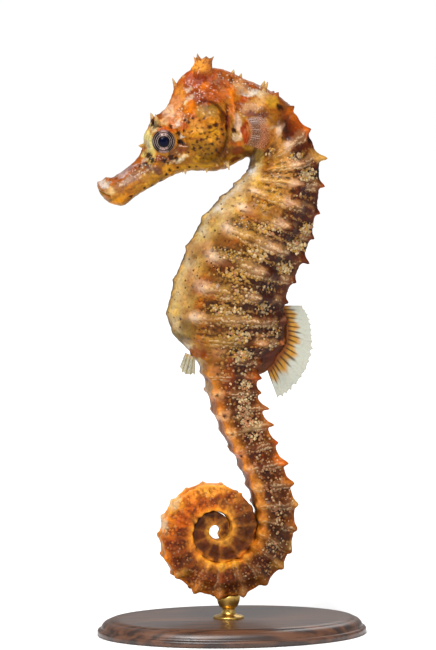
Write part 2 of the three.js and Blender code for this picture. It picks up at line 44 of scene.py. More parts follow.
# ---- the animal's bony rings: ring number, back point x z, belly point x z, half width ----
RIBS = [
    (-19, -22.8, 77.3, -22.2, 74.9, 1.5), (-18, -21.6, 77.8, -20.9, 73.7, 2),
    (-17, -20.4, 78.1, -19.1, 73.2, 2.1), (-15, -17.8, 79.7, -15.9, 75.2, 2.05),
    (-13, -15.7, 82, -12.4, 77.1, 2.4), (-11, -14.6, 85.7, -9.1, 78.6, 2.9),
    (-10, -13.7, 87.8, -7.6, 78.9, 3.1), (-9, -11.7, 89.2, -6, 78.95, 3.3),
    (-8, -10.5, 91.1, -4.7, 78.9, 3.6), (-7, -9.7, 93.3, -3.5, 78.85, 3.9),
    (-6, -8.1, 95.4, -2.2, 78.95, 4.2), (-5, -6, 96.1, -1, 79.35, 4.4), (-3, -1, 95.8, 1.4, 80.6, 4.4),
    (-2, 1.7, 94.5, 2.2, 81, 4.35), (-1, 4.4, 93.4, 2.8, 81, 4.3), (1, 10, 89.7, 3, 80, 4.6),
    (3, 14.5, 81.1, 2.5, 78.8, 5.2), (5, 14.2, 71.9, 0.35, 76.7, 5.8), (7, 11.9, 63.8, -5.2, 71.1, 6.5),
    (9, 8.8, 56.8, -10.2, 60.5, 6.9), (10, 8.5, 53.4, -11.5, 54.9, 6.6), (11, 8, 49.7, -10.1, 51, 5.9),
    (12, 4, 46.6, -6.9, 47.6, 4.9), (13, 4, 44, -5.1, 44.4, 4.3), (14, 4.1, 41.5, -4.3, 41.3, 4.05),
    (15, 4.7, 38.9, -3.3, 37.9, 3.9), (16, 5.7, 36, -1.9, 34.5, 3.8), (18, 8.3, 29.4, 1.4, 28.3, 3.6),
    (20, 10.5, 22.2, 3.7, 22.1, 3.45), (22, 9.7, 14.3, 4.1, 17.4, 3.35),
]
COIL_CENTRE = (-3, 17.75)
COIL_RINGS = range(23, 50)
COIL_RADIUS = (10.3, 8.2, 6.5, 5.6, 4.65, 3.35, 2.42, 1.98, 1.6, 1.2)  # at each quarter turn
COIL_DEPTH = (6.6, 5.7, 5, 4.3, 4.05, 3.35, 2.55, 2, 1.4, 0.7)
COIL_TURN = {22: 10, 23: 27, 24: 45, 26: 86, 28: 130, 30: 172, 32: 212, 34: 255, 36: 301, 38: 349,
             40: 405, 42: 471, 44: 545, 46: 630, 49: 770}  # ring number: degrees
COIL_WIDTH_SHARE = 1.04
COIL_RIB_TILT = 9

# ---- section shapes: corners (across, up) from the back's middle to the belly's; each face's bulge ----
SNOUT = ([(0, 1), (.71, .7), (1, 0), (.7, -.72), (0, -1)], (.1, .1, .1, .1))
EYES = ([(0, 1), (.45, .84), (.98, .2), (.86, -.52), (0, -1)], (.03, .06, .08, .1))
CHEEKS = ([(0, 1), (.34, .78), (.8, .2), (1, -.3), (0, -1)], (.05, .03, .06, .15))
NAPE = ([(0, 1), (.42, .9), (.86, .35), (1, -.35), (0, -1)], (.02, .05, .06, .15))
TRUNK = ([(0, .94), (.46, 1), (1, .42), (.8, -.48), (0, -1)], (-.04, -.03, .06, .03))
HIP = ([(0, .92), (.52, 1), (.98, .58), (.82, -.52), (0, -1)], (-.03, -.03, .04, .03))
TAIL = ([(0, .88), (.74, 1), (.98, .1), (.84, -.84), (0, -1)], (-.03, -.03, -.02, .02))
SECTION_AT = [(-19, SNOUT), (-14, SNOUT), (-11, EYES), (-7, CHEEKS), (-4, CHEEKS), (-1, NAPE),
              (3, TRUNK), (9.5, TRUNK), (11, HIP), (13, TAIL), (50, TAIL)]

# ---- tubercles: for each ridge, first and last ring, usual height, lean along the body, other heights ----
TUBERCLES = {
    1: (0, 36, .52, .3, {0: .9, 3: 1.4, 4: .8, 7: 1, 15: 1.35, 16: 1.15, 18: .95, 29: .44, 30: .38,
                         31: .33, 32: .3, 33: .28, 34: .27, 35: .26, 36: .25}),
    2: (1, 11, .8, .1, {3: 1, 7: 1.1, 11: 1.5}),
    3: (2, 26, .5, .05, {5: .6, 6: .7, 7: .8, 8: .85, 9: .8, 10: .8, 12: .75, 13: .65, 14: .65}),
    4: (5, 10, .14, 0, {9: .2}),
}
SHRINK_FROM = 18  # past this ring the tubercles shrink with the tail's width
ROUND_TOPS = {1: (16.5, 19), 3: (0, 12)}  # the rings over which a ridge's tubercles turn into domes
# the fleshy root of the back fin: ring number, height
BACK_FIN_ROOT = {9.1: 0, 9.5: .9, 10: 1.5, 10.5: 1.7, 11: 2, 11.5: 3.1, 12: 3.7, 12.5: 3.1, 12.8: 1.9,
                 13: 0}

# ---- the skin's grid ----
ROWS = [(-19, -17, 24), (-17, -13, 32), (-13, -8, 70), (-8, 1, 81), (1, 13, 204),
        (13, 22, 108), (22, 36, 154), (36, 49, 72)]  # from ring, to ring, rows
FACE_STEPS = (12, 20, 28, 20)  # columns on each face of one side
COARSE_FROM = 13  # the ring past which the skin has three columns for every five
AROUND = 2 * sum(FACE_STEPS)
COARSE = AROUND * 3 // 5
DOME_ROWS = 5  # rows added at each end
HEAD_TO = 2.3  # the ring up to which the head's own forms are laid on
USUAL_PASSES, SOFT_PASSES = 5, 40  # how often the section's corners are averaged: on the body, on the head

# ---- patches of colour on each side: x, z, reach in x, reach in z, turn in degrees, colour, strength ----
# some head patches are painted light: near-white ones marked below are painted highlights, dark ones painted
# shade
HEAD_PATCHES = [
    (-4.97, 93.53, 4.5, 3.4, 0, "BC6424", .9), (-5.34, 85.43, 3.3, 4.6, 0, "C89038", .9),
    (-10.48, 84.27, 3.8, 3.8, 0, "D0983C", .5), (-8.93, 92.35, 1, 1.5, 0, "E8A458", .9),
    (-9.67, 93.66, .9, 1.2, -30, "C8783C", .8), (-7.05, 95.02, 1.7, 1, -25, "B85C18", .9),
    (-6.41, 96.04, 1, .7, -20, "D88430", .85), (-5.64, 94.55, 1.4, .9, 20, "A04814", .85),
    (-5.15, 93.37, 1.4, .6, 25, "E88A28", .9), (-3.02, 94.49, 1, .7, 20, "C48C68", .8),
    (-1.76, 94.96, 1.2, .5, 10, "B06C2C", .85), (-.47, 94.3, .3, .9, 0, "4A2812", .8),
    (.68, 93.63, 1, .5, 20, "D88C40", .75), (-2.01, 92.53, 1.2, 1.2, 0, "CC783C", .9),
    (-3.77, 91.56, 1.6, .9, -10, "C06C2C", .9), (-5.32, 90.91, 1.2, .5, -15, "BC5812", .85),
    # F6E2D4 on the next line, ECE8D0 and F4E6E0 on the line after: painted highlights in the forehead's
    # hollow
    (-6.95, 93.7, .6, .7, 0, "B86430", .7), (-7.66, 92.71, .5, .7, -40, "F6E2D4", .8),
    (-8.24, 90.55, .4, .7, 0, "ECE8D0", .85), (-7.49, 91.31, .4, .9, -50, "F4E6E0", .8),
    (-7.48, 89.74, 1, 1.5, -12, "F8981C", 1), (-7.2, 88.41, .8, .7, 0, "CC6828", .9),
    (-9.8, 90.34, .9, 1.5, -15, "ECAC80", .8), (-10.96, 88.99, .9, 1.2, -30, "F0CCB4", .85),
    # F6E0D8 on the next line is a painted highlight streak above the eye
    (-9.12, 88.21, 1.1, 1, 30, "F0AC80", .85), (-9.82, 87.22, 1, .4, 38, "F6E0D8", .85),
    (-8.7, 86.73, 1, .6, 35, "EC8C4C", .9), (-10.77, 87.37, .7, .9, 0, "F0A070", .8),
    (-11.9, 87.52, .7, .7, 0, "F0CCA4", .8), (-13.43, 86.6, .5, .5, 0, "F0C890", .85),
    (-11.77, 86.19, 2.1, .4, 0, "E07828", .85), (-14.06, 87.11, .4, 1.5, 8, "E4D8B4", .8),
    (-14.62, 84.31, .8, 2.1, 6, "E6DCA0", .95), (-15.01, 84.08, .2, 1.5, 12, "C8C4B8", .7),
    (-14.39, 81.53, 1, 1.4, 0, "E2D08C", .9), (-11.79, 81.05, 1.4, .6, 0, "9A5C30", .85),
    (-12.96, 81.39, .5, .5, 0, "A04C28", .85), (-10.13, 82.39, 1.2, .9, 0, "906448", .85),
    # 281C10 on the next line is painted shade in the hollow behind the eye
    (-8.96, 83.23, 1.2, 1.2, 0, "845038", .85), (-9.2, 84.07, .8, .5, 0, "281C10", .95),
    # FAF2EC on the next line is a painted glint on the upper rim of the hollow behind the eye
    (-7.14, 84.75, 1, .5, 0, "9A6030", .7), (-8.93, 84.91, .7, .2, 0, "FAF2EC", 1),
    (-8.79, 83.35, .8, .1, 0, "ECD8CC", .85), (-9.63, 80.92, 1.2, .4, 15, "F6ECD8", .95),
    (-8.73, 81.6, .5, .4, 0, "F0DCC0", .8), (-10.9, 80.42, 1, .3, 20, "ECD4BC", .75),
    (-10.46, 79.62, 2.1, .6, 10, "E8AC3C", .95), (-12.71, 78.81, 1.9, .6, 25, "D4A43C", .9),
    (-8.03, 79.9, 1.2, .6, 0, "D8A840", .85), (-7.96, 80.79, .7, .7, 0, "B88438", .8),
    (-5.06, 89.18, 2.1, 1.1, 0, "B48E50", .9), (-4.04, 89.83, 1.4, .4, 5, "94783C", .8),
    (-7.06, 87.75, 1, .7, -20, "ECA864", .85), (-6.46, 86.6, 1.7, .8, -15, "F0BC70", .85),
    (-7.76, 85.74, 1, .5, 0, "ECB068", .8), (-4.81, 87.61, 1.7, .6, 0, "DC9C30", .85),
    (-3.85, 85.77, 1.4, .8, 0, "D8A424", .9), (-6.16, 85.09, 1.9, .5, 0, "E0A830", .85),
    (-4, 84.5, 1.9, .3, 0, "E4B048", .75), (-5.27, 83.04, 2.9, 1.1, 0, "A47C14", .95),
    (-7.29, 83.39, .5, .9, 0, "B88C24", .7), (-4.83, 81.47, 2.6, .8, 0, "94700E", .95),
    (-6.64, 81.13, .7, .7, 0, "DCAC2C", .85), (-2.33, 82.31, 1.2, 1.5, 0, "805008", .9),
    (-2.59, 85.76, .6, 2.1, 0, "A86C20", .85), (-2.53, 88.26, .5, 1.4, 0, "70421C", .85),
    # 4E160C on the next line is painted shade in the crease behind the gill cover
    (-1.69, 87.93, .3, 2.6, 0, "4E160C", 1), (-1.3, 88.25, .2, 2.4, 0, "A85C40", .8),
    (-1.74, 84.03, .4, 1.4, 0, "8E7030", .8), (-2.02, 82.99, .5, 1.2, 0, "8A5C2C", .8),
    (-.63, 89.73, .4, 2.7, 6, "E48C40", .95), (-.53, 91.86, .6, 1.4, 0, "EC9028", .95),
    (.56, 90.37, 1, .5, 10, "8E481C", .85), (.51, 89.55, 1, .5, 0, "9C5428", .85),
    (.07, 87.41, .7, 1.5, 0, "E4C4B4", .9), (.03, 84.86, .8, .6, 0, "F6E0C4", .95),
    (-.33, 85.9, .4, .5, 0, "44200E", .95), (.57, 86.06, .3, 1.5, 0, "F0D4C4", .85),
    (.03, 83.64, 1.4, .6, 0, "D07C20", .95), (.29, 82.42, 1.6, .7, 0, "86480C", .95),
    (2.32, 81.84, 1.2, .7, 0, "66440F", .9), (-2.68, 80.89, 1.6, .7, 0, "94700F", .9),
    (-4.92, 79.84, 2.4, .5, 0, "C89C30", .9), (-2.56, 79.57, .9, .4, 0, "C48C50", .8),
    (-1.22, 79.7, .4, .8, 20, "DCC4B4", .9), (.24, 81.1, 1, .5, 20, "6A2C0C", .85),
    (1.19, 86.38, .4, 1.5, -8, "A84A1C", .95), (1.52, 84.92, .5, 1.4, 6, "B85420", .95),
    (1.81, 86.54, .3, 1.4, -18, "E09468", .9), (2.21, 84.89, .2, 1.2, 12, "E09468", .9),
    (2.76, 89.85, 2.2, .8, 5, "DCB090", .9), (4.58, 90.88, 1.9, .8, 0, "ECBC84", .85),
    (2.7, 88.78, 1.7, .4, -8, "94686A", .85), (4.59, 88.49, 1.4, .4, -5, "885A56", .85),
    # FAF8F4 on the next line is a painted highlight across the nape
    (3.69, 87.85, 1.4, .3, 0, "C0A49C", .8), (2.96, 92.21, 2.2, .5, 8, "FAF8F4", .9),
    (.89, 92.41, .9, .5, 25, "E4B890", .85), (4.71, 91.92, 1.2, .6, 0, "F2DCB8", .85),
    (1.47, 91.18, .9, .5, 20, "C0602C", .8), (6.35, 90.58, 1, 1.1, 0, "C8A040", .9),
    (7.34, 89.74, .5, .6, 0, "34240E", .95), (8.5, 90.17, .7, .7, 0, "A87444", .8),
    (4.35, 87.01, 1, .6, 0, "C4A070", .8), (4.86, 84.98, .8, 2.1, 0, "A46650", .85),
    (3.34, 84.83, .9, 2.1, 0, "86624E", .8), (6.82, 87.96, 1.2, 1.2, 0, "A06E28", .9),
    (6.91, 86.47, 1.4, .3, 10, "D8BCA4", .8), (6.67, 84.98, 1, 1.2, 0, "D08830", .85),
    (-22.19, 77.02, .9, .7, 0, "DCD0CC", .95), (-21.48, 77.44, .6, .3, 0, "B0A09C", .8),
    (-21.19, 76.05, .9, .8, 30, "F4D09C", .95), (-21.72, 74.63, .6, .4, 0, "E4BC9C", .9),
    (-19.67, 76.21, 1.2, 1, 30, "AC7C54", .8), (-19.76, 74.05, 1.6, .6, 10, "EEA830", .95),
    (-20.68, 75.12, 1, .3, 25, "D89C54", .8), (-17.44, 77.94, 2.2, .9, 32, "B89C90", .9),
    (-18.27, 79.12, 2.4, .3, 33, "D0C4CC", .75), (-15.54, 80.51, 1.2, .3, 40, "C8BCC0", .7),
    (-18.11, 75.15, 1.7, .7, 28, "E8A840", .9), (-15.69, 76.45, 2.2, .7, 32, "E8B450", .95),
    (-14.93, 78.34, 1.4, .7, 30, "B48C50", .85), (-13.08, 79.17, .9, 1, 0, "845C4C", .9),
    (-17.12, 77.01, 1.7, .4, 32, "D89C50", .8), (-14.44, 79.7, .9, .7, 0, "98807C", .8),
    # E4CCB4 on the next line is a pale wash of painted highlight over the nape
    (1.48, 92.97, 2.1, 1, -25, "E4CCB4", .45), (-2.13, 93.02, 1, .7, -20, "D8A078", .4),
]
SHOULDER_PATCHES = [
    (9.67, 88.32, 1.6, 1.4, 0, "D07820", .95), (6.71, 87.66, 1.4, 1.2, 0, "A87838", .85),
    (10.84, 86.17, 2.2, 1.5, 0, "BC6420", .95), (12.47, 85.74, .9, 1.4, 0, "DC8428", .85),
    (10.55, 84.55, 1.7, 1.2, 0, "A04C18", .9), (12.89, 84.17, .5, .9, 0, "38200F", .9),
    (7.19, 86.15, .5, .7, 0, "DCCCB8", .75), (8.87, 83.45, .7, .7, 0, "D4C4B0", .75),
    (6.24, 83.82, 2.1, 1.7, 0, "B8823C", .85), (5.71, 82.06, 2.4, 1, 0, "9A7038", .65),
    (10.07, 81.49, 1.4, 1, 0, "7E5A3A", .85), (14.37, 81.28, 2.1, .9, -25, "DEC48C", .9),
    (16.07, 80.25, .7, .7, 0, "E4A848", .8), (12.1, 81.05, 1.7, .9, 0, "B89868", .7),
    (12.16, 78.31, 2.2, 1.4, 0, "54361E", .9), (14.7, 78.89, .7, 1.7, 0, "2E2018", .8),
    (6.62, 78.79, 2.8, 1.4, 0, "B88848", .75), (12.17, 75.59, 2.4, 1.5, 0, "8A4A18", .9),
    (15.17, 76.02, .7, .7, 0, "CC7C2C", .9), (10.37, 75.33, .9, 2.1, 0, "A0601C", .85),
    (13.81, 73.89, 1, 1.7, 0, "623820", .8), (12.67, 71.65, 2.1, 1.4, 0, "7A3C14", .9),
    (14.41, 71.35, .7, .5, 0, "C88434", .8), (9.13, 71.5, 1, 1.4, 0, "6A2E10", .9),
    (8.56, 68, 1.4, .9, 0, "441A0C", .95), (12.1, 69.31, 1.6, 1.2, 0, "362214", .9),
    (10.23, 66.08, 2.1, 1.5, 0, "664426", .9), (5.48, 73.45, 4.1, 5.1, 0, "CCA050", .75),
    (3.6, 75.38, 1, .9, 0, "E4AC3C", .75), (.56, 72.47, .9, .7, 0, "E0A430", .8),
    (4.04, 77.39, .7, .7, 0, "DCAC3C", .75), (-2.05, 69.24, 1, .9, 0, "D89840", .8),
    (1.9, 77.04, 1.7, 1.7, 0, "C8A468", .75), (-.75, 74.21, 2.4, 1.7, 40, "CCA664", .8),
    (-4.06, 70.74, 2.1, 2.1, 50, "E2C67C", .8), (-6.59, 66.49, 1.7, 2.4, 0, "E6CA80", .85),
    (8.77, 74.39, 1.2, .9, 0, "CC9064", .75), (7.88, 70.58, 1, .7, -30, "CCA498", .8),
    (6.48, 67.12, 1.4, 1, 0, "E0C4AC", .85), (3.26, 81.3, .9, 2.1, 0, "60441A", .85),
    (3.98, 81.79, .7, 1, 0, "A8904C", .7), (-1.22, 71.43, .9, 1, -30, "C09468", .6),
    (4.38, 70.23, 2.1, .5, -25, "B08878", .6), (7.1, 76.89, 1.4, .5, -10, "C8A890", .5),
    (5.21, 76.11, 1.4, .7, -30, "D8A84C", .6),
]
LOWER_TRUNK_PATCHES = [
    (-9.17, 60.94, 1.6, 2.7, 0, "E6CA94", .85), (-10.42, 56.33, 1.2, 2.7, 0, "E2C88C", .9),
    (-7.1, 66.21, 1.6, 1.5, 0, "EACEA0", .9), (-2.19, 63.09, 3.8, 6.8, 0, "B88C4C", .7),
    (-7.25, 61.44, 1.2, 1.5, 0, "E4C0A0", .75), (-4.89, 66.01, 1, 1.4, 0, "E4C0A4", .75),
    (-8.52, 57.22, 1, 1.7, 0, "DABA8C", .65), (-3.79, 63.45, 1.9, 1, -20, "D08A28", .9),
    (-5.4, 60.52, 1.2, 1.4, 0, "E0943C", .9), (-6.3, 59.05, 1, 1, 0, "E09840", .85),
    (-5.98, 56.32, 1.2, 1.4, 0, "D88C2C", .9), (-6.31, 53, 1.4, 2.4, 0, "D0922C", .9),
    (-1.28, 64.92, 3.1, 1, -20, "72542F", .65), (2.91, 65.25, 2.1, 1, -20, "C8B07C", .6),
    (.44, 59.47, 2.8, 2.1, 0, "B88440", .6), (3.53, 62.56, 1.4, .9, -25, "BC947C", .8),
    (1.87, 58.55, 1.4, 1, -20, "CC9870", .8), (.84, 54.86, 1.4, 1, 0, "BC9068", .8),
    (5.94, 66.18, 1.2, 1, 0, "E0B8A0", .9), (-4.39, 56.34, 1.6, 1, 0, "7A6030", .65),
    (-2.45, 55.81, 2.4, 1.4, 0, "9A7438", .6), (.14, 53.01, 2.4, 1, 0, "A07838", .6),
    (-.14, 51.14, 2.4, 1.7, 0, "72482A", .85), (6.66, 64.25, 1, 1.2, 0, "382212", .8),
    (8.25, 62.61, 2.1, 1.5, 0, "96805C", .7), (8.06, 62.07, .7, .5, 0, "1C140C", .9),
    (5.25, 59.65, 2.2, 1.7, 0, "4A2C12", .9), (7.98, 59.63, 1, 1.4, 0, "6A4420", .8),
    (4.36, 55.8, 2.1, 1.7, 0, "764218", .9), (7.09, 55.58, 1.6, 2.1, 0, "543222", .9),
    (4.67, 53.99, 1.6, .9, 0, "B86440", .75), (3.19, 54.99, .9, .7, 0, "CC7C34", .75),
    (6.89, 51.72, 1.7, 1.5, 0, "562C18", .9), (8.3, 53.85, .7, .5, 0, "C4A8A8", .75),
    (8.11, 49.8, .7, .5, 0, "CC9478", .85), (3.89, 50.54, 1.4, 1.2, 0, "E4B898", .95),
    (2.76, 49.74, .9, .5, 0, "CC8848", .8), (5.79, 47.95, 2.1, 1.4, 0, "6E3C18", .85),
    (7.51, 46.86, 1.2, 1.5, 0, "74401A", .9), (-7.86, 52.3, 1.6, 2.2, 0, "94803C", .6),
    (-9.59, 50.74, 1, 1.5, 0, "867E58", .8), (-6.54, 48.29, 1.7, 1, 0, "A86018", .9),
    (-5.95, 50.61, 1.6, 1.5, 0, "CC8C2C", .8), (-2.9, 48.49, 1.6, 1.2, 0, "E4AC80", .85),
    (-3.53, 46.41, 1.6, 1, 0, "CC9450", .8), (.76, 48.08, 2.4, 1.5, 0, "5A3828", .85),
    (3.23, 46.6, 1.4, .9, 0, "9A7458", .7), (-3.5, 44.91, 1.2, 1, 0, "CC8C60", .8),
    (-3.27, 41.2, 1.4, 1.2, 0, "D49054", .9), (-1.3, 44.53, 1.2, 3.4, 0, "B8682C", .7),
    (.95, 44.47, 1.4, 2.4, 0, "684028", .7), (2.89, 44.2, 1.4, .9, 0, "CC7C34", .8),
    (3.49, 41.58, .9, 1.4, 0, "5A3420", .8), (4.8, 39.15, 1.2, .7, 0, "AC7450", .8),
    (-4.36, 41.4, .5, 2.4, 0, "9A8464", .8),
]
TAIL_PATCHES = [
    (-2.96, 41.12, 1, 1, 0, "E4B084", .95), (-1.86, 37.57, 1, 1, 0, "ECBC90", .95),
    (-.56, 34.39, .9, 1, 0, "E0A878", .95), (.88, 30.95, .9, .9, 0, "E09C74", .95),
    (2.65, 28.11, .9, .9, 0, "DC9C74", .95), (3.84, 24.92, .9, .9, 0, "E0A468", .95),
    (4.66, 22.22, 1, 1, 0, "D49048", .9), (4.92, 19.85, 1, .9, 0, "D48C44", .9),
    (4.46, 17.51, 1, 1, 0, "DC9044", .9), (3.76, 15.07, 1, 1, 0, "E0943C", .9),
    (1.87, 13.35, 1, .9, 0, "DC9040", .9), (-.21, 12.08, 1, .9, 0, "E0A040", .9),
    (-2.33, 11.78, 1, .9, 0, "E4A848", .9), (-4.44, 12.52, 1, .9, 0, "DC9C44", .9),
    (-6.29, 13.71, .9, .9, 0, "DC9848", .9), (-7.44, 15.36, .9, .9, 0, "D49048", .8),
    (1.77, 40.54, 1.4, 1.4, 0, "684228", .8), (1.48, 38.48, 1.6, 1, 0, "784A24", .8),
    (1.28, 37.06, 1.9, .9, 0, "A08054", .8), (2.93, 35.62, 2.1, .9, 20, "BCA484", .9),
    (3.18, 34.21, 1.9, .7, 0, "785030", .85), (3.89, 31.16, 1.6, 1.5, 0, "8A4A24", .85),
    (4.83, 28.8, 1.6, 1.2, 0, "885038", .8), (6.03, 25.96, 1.4, 1.4, 0, "784828", .8),
    (6.54, 23.35, 1.6, 1.2, 0, "8A5C42", .8), (7.24, 21.23, 1.6, 1, 0, "664226", .8),
    (7.01, 18.89, 1.6, 1.4, 0, "6E4628", .8), (7.25, 16.54, 1.6, 1.4, 0, "785434", .8),
    (6.1, 14.43, 1.6, 1.2, 0, "6E401C", .8), (4.24, 12.35, 1.7, 1.4, 0, "7A4010", .85),
    (1.91, 11.21, 1.7, 1.2, 0, "804818", .85), (-.44, 10.55, 1.7, 1, 0, "8C4C18", .8),
    (-2.82, 9.7, 2.1, 1, 0, "985014", .8), (-5.66, 10, 2.1, 1.2, 0, "9C5818", .8),
    (-7.99, 12.15, 1.7, 1.4, 0, "8A5424", .8), (-9.39, 14.05, 1.6, 1.4, 0, "8A4E20", .8),
    (-10.73, 16.13, 1.2, 1.2, 0, "AC642C", .8), (7.67, 32.87, 1.2, .9, 0, "CC6824", .9),
    (8.03, 30.05, 1.6, 1.2, 0, "E08024", .95), (8.98, 26.28, 1.2, 1, 0, "CC8438", .9),
    (10.64, 22.5, 1.2, 1, 0, "D0A46C", .9), (9.71, 18.99, 1.2, .9, 0, "BC7430", .9),
    (9.74, 14.99, 1.2, 1, 0, "CCA870", .9), (7.34, 12.02, 1.4, 1, 0, "BC8C44", .9),
    (4.52, 9.02, 1.2, 1, 0, "AC7C44", .9), (1, 7.22, 1.2, 1, 0, "B48454", .9),
    (-3, 7.31, 1.4, 1, 0, "BC7C38", .9), (-6.29, 8.32, 1.4, .9, 0, "B47838", .85),
    (-9.1, 10.72, 1.2, 1, 0, "AC844C", .85), (-11.16, 18.68, 1.4, 2.1, 0, "E49030", .95),
    (-9.75, 22.16, 1.6, 1.7, 0, "F4AC4C", .95), (-7.61, 23.97, 1.6, 1.4, 0, "F0A04C", .95),
    (-4.31, 24.83, 2.1, 1.2, 0, "F0AC58", .95), (-1.71, 25, 1.4, 1, 0, "E4A050", .9),
    (.64, 23.55, 1.2, 1.2, 0, "B47C3C", .85), (2.07, 21.63, .9, 1.4, 0, "8A6038", .8),
    (-8.85, 20.12, 1.6, 2.1, 0, "C86C24", .85), (-6.73, 22.12, 1.6, 1.2, 0, "C87028", .85),
    (-4.35, 22.75, 2.1, 1, 0, "B8682C", .8), (-1.72, 22.43, 1.6, 1, 0, "A8703C", .75),
    (-11.7, 19.14, .5, 2.1, 0, "CCBCA8", .8), (-9.84, 22.87, .5, 1.7, -35, "D4C0A4", .8),
    (-7.19, 25.46, 1.7, .5, 25, "D4BC9C", .8), (-4.13, 26.05, 2.4, .4, 0, "CCB094", .8),
    (-.76, 20.76, .7, 1.4, 0, "BC8844", .8), (-.23, 18.36, .7, 1.4, 0, "BC8844", .8),
    (1.57, 19.56, .9, 1.7, 0, "684228", .7), (1.1, 16.52, 1.2, 1.4, 0, "5C381C", .85),
    (-1.2, 13.95, 1.6, .9, 0, "563218", .85), (-3.79, 14.47, 1.6, .9, 0, "58341A", .85),
    (-5.62, 16.59, 1, 1.4, 0, "683C1E", .85), (-6.15, 18.89, .9, 1.5, 0, "5A3418", .85),
    (-4.83, 20.37, 1.2, .7, 0, "58381E", .85), (-1.22, 16.07, 1, 1, 0, "AC803C", .85),
    (-2.88, 15.94, 1.2, .7, 0, "BC8C48", .85), (-4.42, 17.48, .5, 1.4, 0, "A47C38", .85),
    (-4.16, 19.33, .9, .6, 0, "9A7038", .8), (-2.01, 19.26, .9, .7, 0, "866034", .8),
]
DARK_DOTS = [  # x, z, radius
    (-4.75, 86.62, .41), (-3.63, 87, .48), (-5.58, 88.1, .31), (-7.54, 85.96, .17), (-4.98, 85.09, .28),
    (-6.08, 84.52, .31), (-6.73, 84.13, .24), (-4.26, 83.77, .29), (-3.42, 84.85, .28),
    (-2.98, 84.15, .29), (-7.26, 83.03, .33), (-6.15, 83.1, .31), (-4.82, 82.9, .26), (-3.52, 82.81, .28),
    (-5.29, 82.14, .22), (-4.16, 82.19, .21), (-6.62, 85.98, .16), (-3.76, 85.42, .22),
    (-5.53, 85.65, .19), (-2.41, 85.42, .21), (-2.74, 86.32, .19), (-7.02, 86.86, .17), (-6.3, 87.76, .16),
    (-8.77, 85.95, .21), (-8.01, 82.34, .19), (-2.91, 82.29, .17), (-4.21, 81.26, .17),
    (-5.45, 81.27, .16), (-13.57, 86.91, .59), (-13.63, 87.38, .38), (-9.77, 85.61, .48),
    (-10.93, 86.71, .41), (-14.65, 81.84, .52), (-13.98, 81.08, .52), (-15.14, 80.44, .41),
    (-12.07, 80.97, .45), (-10.94, 81.46, .59), (-10.13, 81.26, .41), (-16.11, 79.97, .28),
    (-9.62, 79.66, .33), (-10.96, 79.36, .33), (-11.53, 78.54, .29), (-12.43, 77.42, .29),
    (-13.82, 76.64, .29), (-15.25, 76.2, .28), (-17.57, 74.82, .35), (-14.4, 75.98, .24),
    (-7.73, 79.72, .24), (-6.47, 79.81, .21), (-12.83, 86.66, .28), (-11.48, 80.55, .28),
    (-.35, 85.95, .38), (-7.41, 88.08, .28), (-7.97, 87.4, .22), (-8.6, 87.73, .21), (2.33, 75.74, .28),
    (-.41, 70.93, .29), (.37, 69.75, .24), (.62, 73.55, .24), (-.02, 74.42, .21), (.9, 74.82, .19),
    (-.39, 73.15, .19), (2.77, 74.74, .21), (-2.16, 69.78, .22), (-2.3, 69.95, .21), (-5.06, 64.95, .24),
    (-2.87, 68.4, .22), (-7.29, 59.68, .24), (-6.74, 64.47, .26), (-5.66, 52.44, .24), (-2.53, 47.84, .35),
    (-3.23, 44.73, .28), (-3.24, 41.2, .35), (-5.68, 50.98, .24), (-4.52, 48.49, .19), (-1.57, 57.1, .21),
    (-4.15, 52.45, .22), (-1.86, 37.57, .31), (-.56, 34.39, .28), (1.02, 30.7, .28),
]
# pale spots: the skin's own on snout and cheek; painted highlights (glints) on forehead, crown foot, nape
PALE_SPOTS_AND_GLINTS = [  # x, z, radius
    (-15.59, 79.69, .26), (-14.85, 79.36, .29), (-15.35, 78.69, .26), (-16.17, 79.19, .26),
    (-14.16, 79.98, .22), (-16.11, 78.1, .21), (-19.15, 76.95, .21), (-13.93, 79.01, .21),
    (-9.99, 87.05, .19), (-9.22, 87.88, .19), (-8.51, 87.48, .16), (-10.35, 86.39, .16),
    (-7.88, 91.47, .21), (-7.24, 91.64, .19), (-8.23, 90.88, .19), (-7.49, 92.96, .24), (.64, 88.72, .19),
    (1.22, 88.39, .17), (.01, 88.24, .17), (-.36, 92.84, .16), (1.93, 92.31, .22), (2.92, 91.81, .19),
    (4.02, 92.18, .21), (5.14, 92.56, .19), (-1.48, 89.4, .16), (-1.53, 82.38, .19), (-4.58, 89.01, .17),
    (-5.57, 88.93, .19), (-3.91, 89.09, .14), (-9.6, 81.96, .22), (-10.04, 82.31, .17), (.06, 86.57, .19),
    (-4.53, 94.54, .16), (-3.91, 94.85, .16), (-3.25, 93.84, .16), (-8.43, 94.89, .19),
    (-6.65, 90.58, .16), (-6.45, 89.42, .16), (-1.72, 93.83, .16), (-2.61, 93.35, .14),
    (-1.06, 91.54, .14), (-5.01, 90.33, .16), (-5.72, 90.99, .16), (-14.33, 83.19, .16),
    (-3.01, 79.97, .24), (-1.62, 80.18, .24),
]
